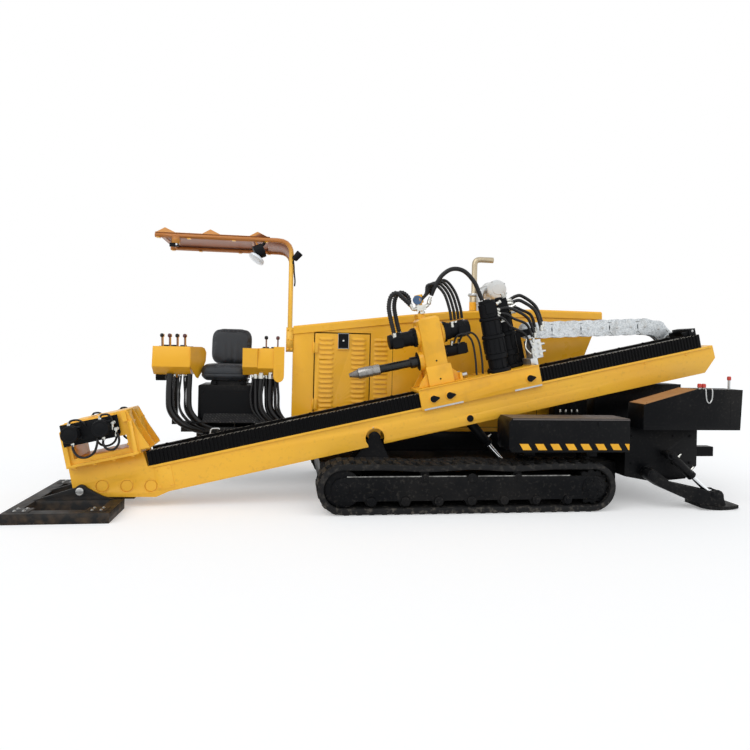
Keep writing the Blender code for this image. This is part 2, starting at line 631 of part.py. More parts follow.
def racks(mast):
    """Two black rails on the beam, each with a rack of upright teeth on its outer face."""
    half = BEAM_WIDTH / 2
    count = int((RACK_REAR - RACK_FRONT) / RACK_PITCH)
    for side, sign in (("near", -1), ("far", 1)):
        outline = [(RACK_FRONT, half - RACK_WIDTH), (RACK_REAR, half - RACK_WIDTH)]
        for i in range(count, 0, -1):
            u = RACK_FRONT + i * RACK_PITCH
            outline += [(u, half), (u - RACK_PITCH / 2, half + TOOTH_DEPTH)]
        outline.append((RACK_FRONT, half))
        rail = slab([(u, sign * y) for u, y in outline], BEAM_TOP + GAP, RACK_TOP)
        node(f"rack_{side}", BLACK, mast, [rail])


def rear_stop(mast):
    """The black stop across the racks at the beam's rear end."""
    top = RACK_TOP + GAP
    stop = [box((RACK_REAR - 0.10, -0.15, top), (RACK_REAR - 0.02, 0.15, top + 0.075)),
            box((RACK_REAR - 0.16, -0.13, top), (RACK_REAR - 0.05, -0.10, top + 0.05)),
            box((RACK_REAR - 0.16, 0.10, top), (RACK_REAR - 0.05, 0.13, top + 0.05))]
    node("rear_stop", BLACK, mast, stop)


def vise(mast):
    """Pipe clamp over the front block: a ribbed housing with a passage and four clamp cylinders."""
    low = 0.355 + GAP
    top = 0.795
    half = 0.235
    side = [(-2.965, low), (-2.27, low), (-2.275, 0.55), (-2.325, top), (-2.90, top - 0.01), (-2.965, 0.70)]
    adds = [plate(side, -half, half)]
    for u in (-2.93, -2.31):
        adds.append(box((u - 0.02, -half - 0.03, low), (u + 0.02, half + 0.03, low + 0.33)))
    adds.append(box((-2.95, -half - 0.04, low), (-2.28, half + 0.04, low + 0.025)))
    adds.append(box((-2.93, -half - 0.03, SPINDLE_V - 0.10), (-2.44, half + 0.03, SPINDLE_V + 0.10)))
    passage = rod((-3.1, 0, SPINDLE_V), (-2.1, 0, SPINDLE_V), 0.105, 16)
    window = box((-2.88, -half - 0.1, 0.43), (-2.37, half + 0.1, 0.56))
    throat = box((-2.72, -0.16, 0.53), (-2.66, 0.16, top + 0.1))
    node("vise_housing", YELLOW, mast, adds, [passage, window, throat])
    for label, sign in (("near", -1), ("far", 1)):
        seat = sorted((sign * (half + 0.03 + GAP), sign * (half + 0.055)))
        cylinders = [box((-2.92, seat[0], SPINDLE_V - 0.085), (-2.45, seat[1], SPINDLE_V + 0.085))]
        for u in (-2.825, -2.545):
            cylinders.append(rod((u, sign * (half + 0.04), SPINDLE_V), (u, sign * 0.37, SPINDLE_V), 0.078, 16))
            cylinders.append(rod((u, sign * 0.36, SPINDLE_V), (u, sign * 0.395, SPINDLE_V), 0.055, 14))
            for dz in (-0.05, 0.05):
                cylinders.append(rod((u, sign * 0.33, SPINDLE_V + dz), (u + 0.1, sign * 0.35, SPINDLE_V + dz), 0.014, 6))
        node(f"vise_cylinders_{label}", CAST, mast, cylinders)


def carriage(mast):
    """The sliding carriage with its skirts, the gearbox and every motor it carries."""
    half = BEAM_WIDTH / 2 + TOOTH_DEPTH + FREE
    out = half + SKIRT_PLATE
    frame = empty("carriage_frame", (0, 0, 0), mast)
    f, r = CARRIAGE_FRONT, CARRIAGE_REAR
    profile = [(f, SKIRT_BOTTOM), (r, SKIRT_BOTTOM), (r, CARRIAGE_TOP - 0.012), (r - 0.03, CARRIAGE_TOP),
               (f + 0.03, CARRIAGE_TOP), (f, CARRIAGE_TOP - 0.012)]
    adds = [plate(profile, -out, out)]
    pads = RACK_TOP + RUN
    cut = box((f - 0.1, -half, SKIRT_BOTTOM - 0.1), (r + 0.1, half, pads))
    for u in (0.676, 0.852, 1.747):
        for sign in (-1, 1):
            adds.append(rod((u, sign * (out - 0.01), 0.275), (u, sign * (out + 0.016), 0.275), 0.045, 16))
    node("carriage", YELLOW, frame, adds, [cut])

    # The gearbox leans with the beam's normal and widens at its foot.
    g, w, top = GEARBOX_U, GEARBOX_WIDTH / 2, GEARBOX_TOP
    base = CARRIAGE_TOP + GAP
    wide = GEARBOX_LENGTH / 2
    side = [(g - wide, base), (g + wide, base), (g + wide, 0.58), (g + wide - 0.02, 0.62), (g + wide - 0.02, top - 0.03),
            (g + wide - 0.05, top), (g - wide + 0.03, top), (g - wide, top - 0.03)]
    gearbox = [plate(side, -w, w),
               rod((g - wide - 0.05, 0, SPINDLE_V), (g, 0, SPINDLE_V), 0.105, 20),
               rod((g - wide - 0.03, 0, MOTOR_V), (g + wide + 0.02, 0, MOTOR_V), 0.115, 20),
               rod((g - 0.04, 0, top - 0.01), (g - 0.04, 0, top + 0.17), 0.026, 12),
               rod((g - 0.04, 0, top + 0.16), (g - 0.04, 0, top + 0.25), 0.045, 14)]
    node("gearbox", YELLOW, frame, gearbox)

    # Motors on the gearbox: place along the beam, height, direction, length and radius.
    for name, v, sign, length, radius in (("motor_front", MOTOR_V, -1, 0.30, 0.088),
                                          ("motor_rear", MOTOR_V, 1, 0.30, 0.095),
                                          ("motor_brake", 0.725, 1, 0.26, 0.065)):
        start = g + sign * (wide + (0.03 if sign < 0 else 0.02 if v == MOTOR_V else -0.02) + GAP)
        end = start + sign * length
        shapes = [rod((start, 0, v), (end, 0, v), radius, 14),
                  rod((start, 0, v), (start + sign * 0.03, 0, v), radius + 0.018, 16),
                  box((min(end, end - sign * 0.11), -radius - 0.02, v - 0.05),
                      (max(end, end - sign * 0.11), radius + 0.02, v + 0.05))]
        # Two hoses rise from the motor and arch over to the swivel cap on the gearbox.
        swivel = g - 0.04 + sign * (0.045 + RUN)
        if v == MOTOR_V:
            rise = start + sign * HOSE_STEP
            for y in (-0.034, 0.034):
                path = [(rise, y, v + 0.04), (rise, y, top + HOSE_RISE * 0.4), (rise - sign * 0.05, y, top + HOSE_RISE),
                        (swivel + sign * 0.10, y, top + HOSE_RISE), (swivel + sign * 0.07, y, top + 0.205), (swivel, y, top + 0.205)]
                shapes.append(tube(bend(path, 0.12, 1), HOSE_RADIUS, 1))
        node(name, CAST, frame, shapes)

    # Feed drives stand on the carriage: radius and height steps from the flange up.
    for name, u, y in (("feed_drive_near", 1.47, -0.095), ("feed_drive_far", 1.675, 0.095)):
        steps = ((0.115, 0.400, 0.440), (0.085, 0.43, 0.60), (0.098, 0.59, 0.79), (0.080, 0.78, 0.98), (0.092, 0.97, 1.09),
                 (0.060, 1.08, 1.17))
        shapes = [rod((u, y, (low if low > 0.4 else base)), (u, y, high), radius, 12) for radius, low, high in steps]
        node(name, CAST, frame, shapes)

    block = [box((1.86, -0.12, 0.46), (1.98, 0.06, 0.66)), box((1.82, -0.14, 0.40 + GAP - 0.012), (1.90, 0.10, 0.47))]
    node("valve_block", STEEL, frame, block,
         [box((1.7, -0.3, 0.2), (r + GAP, 0.3, CARRIAGE_TOP + GAP))])
    return frame


def spindle(frame):
    """The turning spindle with its silver sub, drill rod and coned tip."""
    g = GEARBOX_U - GEARBOX_LENGTH / 2 - 0.05
    v = SPINDLE_V
    pivot = empty("spindle_frame", (0, 0, 0), frame)
    # Radius at each end and the span along the beam, from the gearbox forwards.
    steps = ((0.062, 0.062, g - GAP, g - 0.10), (0.045, 0.045, g - 0.09, 0.20), (0.058, 0.058, 0.21, -0.03),
             (0.045, 0.020, -0.02, -0.125))
    shapes = [rod((a, 0, v), (b, 0, v), r1, 14, r2) for r1, r2, a, b in steps]
    node("spindle", STEEL, pivot, shapes)


def chain(mast, frame):
    """Galvanised drag chain: the moving run behind the carriage and the resting run in its tray."""
    y_low, y_high = CHAIN_Y, CHAIN_Y + CHAIN_WIDTH
    fall = -CHAIN_PITCH * math.tan(MAST_ANGLE) * 0.72
    joints = [(CHAIN_START + i * CHAIN_PITCH, CHAIN_RISE + i * fall) for i in range(CHAIN_LINKS)]
    for turn in (-20, -55):
        u, v = joints[-1]
        joints.append((u + CHAIN_PITCH * math.cos(math.radians(turn)), v + CHAIN_PITCH * math.sin(math.radians(turn))))
    # The link plates' rounded ends make a scalloped band along the line of joints.
    tops, bottoms = [], []
    for (u, v), (u1, v1) in zip(joints, joints[1:] + [(2 * joints[-1][0] - joints[-2][0], 2 * joints[-1][1] - joints[-2][1])]):
        lean = math.degrees(math.atan2(v1 - v, u1 - u))
        tops += arc((u, v), CHAIN_PITCH * 0.53, lean + 150, lean + 30, 4)
        bottoms += arc((u, v), CHAIN_PITCH * 0.53, lean - 150, lean - 30, 4)
    last = joints[-1]
    tops = [point for point in tops if math.dist(point, last) > CHAIN_PITCH * 0.52]
    bottoms = [point for point in bottoms if math.dist(point, last) > CHAIN_PITCH * 0.52]
    links = [plate(tops + bottoms[::-1], y_low, y_high)]
    foot = CARRIAGE_TOP + GAP
    links.append(box((CARRIAGE_REAR - 0.075, 0.12, foot), (CARRIAGE_REAR - 0.010, 0.19, 0.79)))
    links.append(box((CARRIAGE_REAR - 0.070, 0.13, 0.69), (CHAIN_START + 0.02, y_low + 0.06, 0.78)))
    node("chain_upper", ZINC, frame, links)

    half = BEAM_WIDTH / 2 + GAP
    low, floor = CHAIN_TRAY_V, CHAIN_TRAY_V + 0.012
    front, rear, far = 0.90, BEAM_REAR - 0.12, y_high + 0.010
    tray = [box((front, half, low), (rear, far + 0.010, floor)),
            box((front, far, low + 0.001), (rear - 0.001, far + 0.012, low + 0.065)),
            box((front + 0.001, half + 0.001, low + 0.002), (rear - 0.002, half + 0.012, low + 0.064))]
    node("chain_tray", BLACK, mast, tray)
    lower = [box((front + 0.05, y_low, floor + GAP), (CHAIN_START + CHAIN_PITCH * 8.6, y_high, floor + 0.09))]
    node("chain_lower", ZINC, mast, lower)


def lift_cylinder(root, mast):
    """Barrel hung inside the beam and the chromed rod down to the chassis."""
    c, s = math.cos(MAST_ANGLE), math.sin(MAST_ANGLE)
    top_x = MAST_PIVOT_X + LIFT_TOP_U * c - LIFT_TOP_V * s
    top_z = MAST_PIVOT_Z + LIFT_TOP_U * s + LIFT_TOP_V * c
    dx, dz = LIFT_FOOT_X - top_x, LIFT_FOOT_Z - top_z
    hinge = empty("lift_hinge", (top_x, MAST_Y, top_z), root, math.atan2(dz, dx))
    cylinder("lift_{}", hinge, math.hypot(dx, dz), LIFT_BARREL_LENGTH, LIFT_BARREL_RADIUS, LIFT_ROD_RADIUS,
             LIFT_PIN_RADIUS, LIFT_FOOT_PIN + LIFT_DRIFT, LIFT_EYE_HALF, LIFT_TRAVEL)


def cylinder(name, hinge, length, barrel_length, barrel_radius, rod_radius, barrel_pin, rod_pin, eye_half, travel):
    """A hydraulic cylinder along the hinge's +X: a bored barrel and its rod, with an eye at each end.

    The rod's eye is wide enough for its pin to drift in, because the barrel and the rod follow by constant ratios.
    """
    near_eye, far_eye = barrel_pin + 1.5 * RUN, rod_pin + 1.5 * RUN
    barrel = [rod((0, -eye_half, 0), (0, eye_half, 0), near_eye + EYE_WALL + 0.004, 18),
              rod((0.015, 0, 0), (barrel_length, 0, 0), barrel_radius, 16)]
    cuts = [rod((0, -0.2, 0), (0, 0.2, 0), near_eye, 18),
            rod((BARREL_CAP, 0, 0), (barrel_length + 0.1, 0, 0), rod_radius + RUN, 16)]
    node(name.format("barrel"), BLACK, hinge, barrel, cuts)
    shaft = [rod((BARREL_CAP + travel + FREE, 0, 0), (length - far_eye - 0.004, 0, 0), rod_radius, 16),
             rod((length, 0.008 - eye_half, 0), (length, eye_half - 0.008, 0), far_eye + EYE_WALL, 18)]
    node(name.format("rod"), CHROME, hinge, shaft, [rod((length, -0.2, 0), (length, 0.2, 0), far_eye, 18)])


def anchor(root):
    """Open channel frame flat on the ground, hinged to the mast's front by a pin."""
    c, s = math.cos(MAST_ANGLE), math.sin(MAST_ANGLE)
    pin_x = MAST_PIVOT_X + ANCHOR_PIN_U * c - ANCHOR_PIN_V * s
    pin_z = MAST_PIVOT_Z + ANCHOR_PIN_U * s + ANCHOR_PIN_V * c
    hinge = empty("anchor_hinge", (pin_x, MAST_Y, pin_z), root)
    x0, x1 = ANCHOR_FRONT - pin_x, ANCHOR_FRONT + ANCHOR_LENGTH - pin_x
    half = ANCHOR_WIDTH / 2
    z0, z1 = -pin_z, ANCHOR_HEIGHT - pin_z
    w = ANCHOR_CHANNEL
    adds = [box((x0, -half, z0), (x1, half, z1))]
    near = BEAM_WIDTH / 2 + 0.014 + FREE
    # The frame is open at the rear between its rails, where the beam comes down as the mast flattens.
    cuts = [box((x0 + w, -half + w, z0 - 0.1), (x1 - w, half - w, z1 + 0.1)),
            box((x1 - w - 0.01, -near, z0 - 0.1), (x1 + 0.1, near, z1 + 0.1))]
    rails = []
    for sign in (-1, 1):
        ys = sorted((sign * near, sign * (near + 0.03)))
        ear = [(x0 + 0.02, z1 - 0.02), (x1 - 0.02, z1 - 0.02), (0.20, z1 + 0.03)] + arc((0, 0), 0.055, 30, 150, 8)
        rails.append(plate(ear, *ys))
        foot = sorted((sign * (near + 0.001), sign * (near + 0.05)))
        rails.append(box((x0 + 0.01, foot[0], z0), (x1 - 0.01, foot[1], z1)))
    pin = rod((0, -near - 0.04, 0), (0, near + 0.04, 0), ANCHOR_PIN_RADIUS, 16)
    node("anchor_base", BLACK, hinge, adds, cuts, then=rails + [pin])


def tool_box(root):
    """Black box over the near track with a bevelled front corner."""
    f, r, b, t = TANK_FRONT, TANK_REAR, TANK_BOTTOM, TANK_TOP
    outline = [(f + 0.03, b), (r, b), (r, t), (f + 0.03, t), (f, t - 0.04), (f, b + 0.04)]
    node("tool_box", BLACK, root, [plate(outline, TANK_NEAR, TANK_FAR)])


def rear_structure(root):
    """Rear body with a slot that the lowered mast drops into, twin boxes and the valve box."""
    f, r = CHASSIS_REAR + GAP, REAR_BODY_REAR
    half = LEG_Y - LEG_WIDTH / 2 - BODY_TO_LEG
    slot_low, slot_high = MAST_Y - SLOT_NEAR, MAST_Y + SLOT_FAR
    side = [(f, 0.31), (2.08, 0.25), (2.45, 0.28), (r, 0.42), (r, REAR_BOX_BOTTOM - GAP),
            (f, REAR_BOX_BOTTOM - GAP)]
    adds = [plate(side, -half, half)]
    for sign in (-1, 1):
        for x, z in (LEG_PIVOT, LEG_BARREL_PIN):
            y0, y1 = sorted((sign * (half - 0.030), sign * (LEG_Y + LEG_WIDTH / 2 + 0.012)))
            adds.append(rod((x, y0, z), (x, y1, z), LEG_BARREL_PIN_RADIUS, 18))
    cuts = [box((f - 0.1, slot_low, 0.545), (r + 0.1, slot_high, 1.0))]
    node("rear_body", BLACK, root, adds, cuts)

    f, r = REAR_BOX_FRONT, REAR_BOX_REAR
    low, top = REAR_BOX_BOTTOM, REAR_BOX_TOP
    for name, y0 in (("near", -TRACK_OVERALL / 2), ("far", slot_high)):
        outline = [(f, low), (r - 0.02, low), (r, top), (f + 0.60, top), (f, top - 0.17)]
        node(f"rear_box_{name}", BLACK, root, [plate(outline, y0, y0 + REAR_BOX_WIDTH)])
    node("pump_box", BLACK, root, [box((1.30, -0.10, CHASSIS_TOP + GAP), (1.70, 0.055, REAR_BOX_BOTTOM + 0.28))])


def leg(root, side, sign):
    """Stabiliser leg with a curved ski foot, and the cylinder that lowers it."""
    (ax, az), (px, pz), (bx, bz) = LEG_PIVOT, LEG_PIN, LEG_BARREL_PIN
    y = sign * LEG_Y
    hinge = empty(f"leg_hinge_{side}", (ax, y, az), root)
    h = LEG_WIDTH / 2
    # The arm's outline about its pivot.
    arm = arc((0, 0), 0.062, 80, 250, 6) + [(0.10, -0.13), (0.58, -0.33), (0.70, -0.335), (0.76, -0.25),
                                            (px - ax + 0.035, pz - az + 0.028), (px - ax - 0.02, pz - az + 0.03),
                                            (0.20, -0.075)]
    ski = arc((0.746, 0.64), 1.0, -104, -79, 6)
    foot = ski + [(x, z + 0.035) for x, z in reversed(ski)]
    hump = [(0.62, -0.33)] + arc((0.74, -0.235), 0.075, 170, -10, 6) + [(0.84, -0.33)]
    adds = [plate(arm, -h, h), plate(foot, -FOOT_WIDTH / 2, FOOT_WIDTH / 2), plate(hump, -h, h)]
    # The arm is open on top for the cylinder: a shallow groove for the barrel and a pocket for the rod's eye.
    room = LEG_BARREL_RADIUS + FREE
    groove = plate([(0.33, -0.135), (0.55, -0.190), (0.60, -0.266), (0.78, -0.266), (0.78, 0.1), (0.33, 0.1)], -room, room)
    body_pin = LEG_BARREL_PIN_RADIUS + 1.5 * RUN
    bore = rod((0, -0.3, 0), (0, 0.3, 0), body_pin, 18)
    pin = rod((px - ax, -h - 0.01, pz - az), (px - ax, h + 0.01, pz - az), LEG_PIN_RADIUS, 14)
    node(f"leg_{side}", BLACK, hinge, adds, [groove, bore], then=[pin])

    dx, dz = px - bx, pz - bz
    barrel_hinge = empty(f"leg_barrel_hinge_{side}", (bx, y, bz), root, math.atan2(dz, dx))
    cylinder("leg_{}_" + side, barrel_hinge, math.hypot(dx, dz), LEG_BARREL_LENGTH, LEG_BARREL_RADIUS, LEG_ROD_RADIUS,
             LEG_BARREL_PIN_RADIUS, LEG_PIN_RADIUS + LEG_DRIFT, LEG_EYE_HALF, LEG_TRAVEL)


def build():
    """The whole machine, moved so that its overall box stands centred on the origin."""
    tip_u, tip_v = BEAM_REAR, BEAM_TIP_V
    mast_tip = MAST_PIVOT_X + tip_u * math.cos(MAST_ANGLE) - tip_v * math.sin(MAST_ANGLE)
    front = ANCHOR_FRONT
    rear = max(REAR_BOX_REAR, mast_tip)
    near = min(-TRACK_OVERALL / 2, MAST_Y - ANCHOR_WIDTH / 2)
    far = max(TRACK_OVERALL / 2, LEG_Y + FOOT_WIDTH / 2)
    root = empty("machine", (-(front + rear) / 2, -(near + far) / 2, 0))
    tracks(root)
    chassis(root)
    deck(root)
    hood(root)
    operator_place(root)
    canopy(root)
    mast = empty("mast_frame", (MAST_PIVOT_X, MAST_Y, MAST_PIVOT_Z), root, MAST_ANGLE)
    mast_beam(mast)
    racks(mast)
    rear_stop(mast)
    vise(mast)
    frame = carriage(mast)
    spindle(frame)
    chain(mast, frame)
    lift_cylinder(root, mast)
    anchor(root)
    tool_box(root)
    rear_structure(root)
    for side, sign in (("near", -1), ("far", 1)):
        leg(root, side, sign)


build()
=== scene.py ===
"""Looks of a horizontal directional drill on rubber tracks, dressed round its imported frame."""

import bmesh
import bpy
import numpy as np
from mathutils import Matrix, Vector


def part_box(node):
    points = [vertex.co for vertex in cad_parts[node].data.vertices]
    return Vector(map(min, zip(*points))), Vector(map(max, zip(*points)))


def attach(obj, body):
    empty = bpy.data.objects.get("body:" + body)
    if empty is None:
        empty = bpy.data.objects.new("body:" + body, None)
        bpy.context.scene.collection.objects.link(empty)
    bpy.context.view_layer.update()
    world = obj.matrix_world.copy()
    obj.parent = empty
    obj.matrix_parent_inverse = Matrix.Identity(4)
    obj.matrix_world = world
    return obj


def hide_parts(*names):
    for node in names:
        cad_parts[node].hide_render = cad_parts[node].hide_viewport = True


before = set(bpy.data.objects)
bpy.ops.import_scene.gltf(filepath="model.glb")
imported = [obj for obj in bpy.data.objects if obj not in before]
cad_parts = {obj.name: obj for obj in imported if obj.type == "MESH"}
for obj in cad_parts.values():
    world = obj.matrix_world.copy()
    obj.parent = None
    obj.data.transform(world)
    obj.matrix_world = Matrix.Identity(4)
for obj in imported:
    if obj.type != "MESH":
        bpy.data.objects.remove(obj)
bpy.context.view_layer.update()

# The studio: a pale floor and a white surround that only the camera, glass and gloss see.
# The lamps stay at a plain level, so that each paint renders about as it is written.
scene = bpy.context.scene
scene.view_settings.view_transform = "Standard"


class Wire:
    """A value in a node tree. The signs + - * / ** on it add Math nodes, and node() adds any other kind."""

    def __init__(self, tree, socket):
        self.tree = tree
        self.socket = socket

    def node(self, kind, settings=(), inputs=(), out=0):
        """Adds one node: its settings are set first, then its sockets get values or links."""
        made = self.tree.nodes.new(kind)
        for key, value in dict(settings).items():
            setattr(made, key, value)
        for key, value in dict(inputs).items():
            if isinstance(value, Wire):
                self.tree.links.new(value.socket, made.inputs[key])
            else:
                made.inputs[key].default_value = value
        return Wire(self.tree, made.outputs[out] if made.outputs else None)

    def math(self, operation, first, second):
        return self.node("ShaderNodeMath", {"operation": operation}, {0: first, 1: second})

    def __add__(self, other):
        return self.math("ADD", self, other)

    def __radd__(self, other):
        return self.math("ADD", other, self)

    def __sub__(self, other):
        return self.math("SUBTRACT", self, other)

    def __rsub__(self, other):
        return self.math("SUBTRACT", other, self)

    def __mul__(self, other):
        return self.math("MULTIPLY", self, other)

    def __rmul__(self, other):
        return self.math("MULTIPLY", other, self)

    def __truediv__(self, other):
        return self.math("DIVIDE", self, other)

    def __rtruediv__(self, other):
        return self.math("DIVIDE", other, self)

    def __pow__(self, other):
        return self.math("POWER", self, other)


def seen_directly(tree):
    """1 for rays of the camera, of gloss and of glass, and 0 for the light that falls on things."""
    path = tree.nodes.new("ShaderNodeLightPath")
    camera, glossy, through = (Wire(tree, path.outputs[name]) for name in
                               ("Is Camera Ray", "Is Glossy Ray", "Is Transmission Ray"))
    return 1 - (1 - camera) * (1 - glossy) * (1 - through)


world = bpy.data.worlds.new("surround")
scene.world = world
world.use_nodes = True
world.node_tree.nodes.clear()
direct = seen_directly(world.node_tree)
soft = direct.node("ShaderNodeBackground", (), {"Color": (0.94, 0.97, 1.0, 1.0), "Strength": 0.62})
white = direct.node("ShaderNodeBackground", (), {"Color": (1.0, 1.0, 1.0, 1.0), "Strength": 1.0})
direct.node("ShaderNodeOutputWorld", (), {"Surface": direct.node("ShaderNodeMixShader", (), {0: direct, 1: soft, 2: white})})

floor_mesh = bpy.data.meshes.new("studio_floor")
floor_mesh.from_pydata([(-40, -40, 0), (40, -40, 0), (40, 40, 0), (-40, 40, 0)], [], [(0, 1, 2, 3)])
floor = bpy.data.objects.new("studio_floor", floor_mesh)
scene.collection.objects.link(floor)
paper = bpy.data.materials.new("studio_paper")
paper.use_nodes = True
paper.node_tree.nodes.clear()
direct = seen_directly(paper.node_tree)
matt = direct.node("ShaderNodeBsdfDiffuse", (), {"Color": (0.8, 0.8, 0.8, 1.0)})
glow = direct.node("ShaderNodeEmission", (), {"Color": (1.0, 1.0, 1.0, 1.0), "Strength": direct * 0.29})
direct.node("ShaderNodeOutputMaterial", (), {"Surface": direct.node("ShaderNodeAddShader", (), {0: matt, 1: glow})})
floor_mesh.materials.append(paper)

for name, watts, spread, aim in (("key_sun", 1.15, 0.9, (0.85, -0.25, -0.55)), ("fill_sun", 0.55, 1.6, (1.15, 0.0, 0.75))):
    lamp = bpy.data.lights.new(name, "SUN")
    lamp.energy = watts
    lamp.angle = spread
    sun = bpy.data.objects.new(name, lamp)
    sun.rotation_euler = aim
    scene.collection.objects.link(sun)

# The camera stands on the drill's near side, a little ahead of its middle, and leans slightly as the photographer did.
camera = bpy.data.objects.new("camera", bpy.data.cameras.new("camera"))
camera.data.lens = 28.8
camera.data.sensor_width = 36.0
camera.data.shift_y = -25 / 750
camera.data.clip_end = 200.0
scene.collection.objects.link(camera)
scene.camera = camera
camera.matrix_world = (Matrix.Translation((-1.135, -6.76, 1.594)) @ Matrix.Rotation(-np.radians(8.1), 4, "Z")
                       @ Matrix.Rotation(np.pi / 2, 4, "X") @ Matrix.Rotation(0.0225, 4, "Z"))

# Rubber tracks: an endless moulded belt with two staggered rows of tread lugs.
# The belt runs slack along its top, so that run waves a little between the carrier rollers.
# MACHINE is the ground point midway between the tracks; places named on_machine are measured from it.
MACHINE = np.array([0.6763, 0.0425, 0.0])


def net(points, around=False, across=True, caps=False):
    """A net of quads over points[i, j]; around joins the last row to the first and across the last column to the first.
    caps fill the two ends."""
    rows, columns = points.shape[:2]
    index = np.arange(rows * columns).reshape(rows, columns)
    start, end = (index, np.roll(index, -1, 0)) if around else (index[:-1], index[1:])
    if across:
        corners = (start, np.roll(start, -1, 1), np.roll(end, -1, 1), end)
    else:
        corners = (start[:, :-1], start[:, 1:], end[:, 1:], end[:, :-1])
    faces = np.stack(corners, -1).reshape(-1, 4).tolist()
    if caps:
        faces += [index[0][::-1].tolist(), index[-1].tolist()]
    return points.reshape(-1, 3), faces


def copies(part, places):
    """The part repeated at each of the places, by adding the place to every point."""
    points, faces = part
    places = np.asarray(places, float).reshape(-1, 3)
    step = np.repeat(np.arange(len(places)) * len(points), len(faces))
    moved = (places[:, None] + points[None]).reshape(-1, 3)
    repeated = faces * len(places)
    return moved, [[corner + offset for corner in face] for face, offset in zip(repeated, step.tolist())]


def piece(name, parts, finish, body, bevel=0.0, sharp=38.0, segments=2):
    """Joins the parts into one object at the origin, faces out, edges rounded by bevel, riding on its body."""
    offsets = np.cumsum([0] + [len(points) for points, _ in parts])
    mesh = bpy.data.meshes.new(name)
    faces = [[corner + int(offset) for corner in face] for (_, part), offset in zip(parts, offsets) for face in part]
    mesh.from_pydata(np.vstack([points for points, _ in parts]).tolist(), [], faces)
    bm = bmesh.new()
    bm.from_mesh(mesh)
    bmesh.ops.remove_doubles(bm, verts=bm.verts, dist=0.000001)
    bmesh.ops.recalc_face_normals(bm, faces=bm.faces)
    bm.to_mesh(mesh)
    bm.free()
    mesh.shade_smooth()
    mesh.set_sharp_from_angle(angle=np.radians(sharp))
    mesh.materials.append(finish)
    made = bpy.data.objects.new(name, mesh)
    scene.collection.objects.link(made)
    if bevel:
        edge = made.modifiers.new("rounded_edges", "BEVEL")
        edge.width = bevel
        edge.segments = segments
        edge.limit_method = "ANGLE"
        edge.angle_limit = np.radians(sharp)
        edge.harden_normals = True
    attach(made, body)
    return made


def surface(name, recipe, **plain):
    """A Principled material: recipe(place) gives what changes over it, and plain the sockets that are the same all over."""
    made = bpy.data.materials.new(name)
    made.use_nodes = True
    tree = made.node_tree
    shader = tree.nodes["Principled BSDF"]
    for key, value in plain.items():
        shader.inputs[key.replace("_", " ")].default_value = value
    place = Wire(tree, tree.nodes.new("ShaderNodeTexCoord").outputs["Object"])
    for key, value in recipe(place).items():
        tree.links.new(value.socket, shader.inputs[key])
    return made


def cloud(place, scale, detail=3.0, stretch=(1.0, 1.0, 1.0)):
    """A cloudy value of 0 to 1; stretch scales the place along each axis first."""
    where = place.node("ShaderNodeMapping", (), {"Vector": place, "Scale": stretch})
    return place.node("ShaderNodeTexNoise", (), {"Vector": where, "Scale": scale, "Detail": detail})


def ramp(value, low, high, start=0.0, end=1.0):
    """Goes evenly from start to end while the value goes from low to high, and stays there outside."""
    return value.node("ShaderNodeMapRange", (), {0: value, 1: low, 2: high, 3: start, 4: end})


def mixed(mask, first, second):
    """The first colour where the mask is 0 and the second where it is 1."""
    return mask.node("ShaderNodeMix", {"data_type": "RGBA"}, {0: mask, 6: first, 7: second}, out=2)


def relief(height, distance, strength=1.0):
    """Bends the light as if the surface rose by distance where the height is 1."""
    return height.node("ShaderNodeBump", (), {"Strength": strength, "Distance": distance, "Height": height})


def part_of(place, axis):
    """The place's own x, y or z, for axis 0, 1 or 2."""
    return place.node("ShaderNodeSeparateXYZ", (), {0: place}, out=axis)


def upward(place):
    """How far the surface faces up: 1 on top, 0 on a wall."""
    facing = place.node("ShaderNodeNewGeometry", out=1)
    return ramp(part_of(facing, 2), 0.0, 1.0)


def colour(red, green, blue):
    """A colour's three sRGB shares of 255 as the light that Blender works with."""
    share = np.array([red, green, blue]) / 255
    return (*np.where(share <= 0.04045, share / 12.92, ((share + 0.055) / 1.055) ** 2.4), 1.0)


def tread_rubber(place):
    """Black rubber with a grey bloom, and dry soil caught low down and on the lug tips."""
    bloom = cloud(place, 6.0, 5.0)
    soil = ramp(cloud(place, 24.0, 6.0), 0.52, 0.72) * ramp(part_of(place, 2), 0.0, 0.16, 0.75, 0.25)
    tone = mixed(bloom, colour(10, 10, 11), colour(26, 26, 27))
    grain = cloud(place, 260.0, 2.0)
    return {"Base Color": mixed(soil, tone, colour(104, 98, 90)), "Roughness": ramp(bloom, 0.2, 0.8, 0.62, 0.88),
            "Normal": relief(grain, 0.0006, 0.5)}


RUBBER = surface("tread_rubber", tread_rubber, Specular_IOR_Level=0.22)
TRACK_LONG, TRACK_TALL, TRACK_WIDE, TRACK_MIDDLE = 3.05, 0.5, 0.4, 0.9
BELT_OUT, BELT_IN, LUGS = 0.026, 0.066, 54
STRAIGHT = TRACK_LONG - TRACK_TALL
LOOP = 2 * STRAIGHT + np.pi * TRACK_TALL


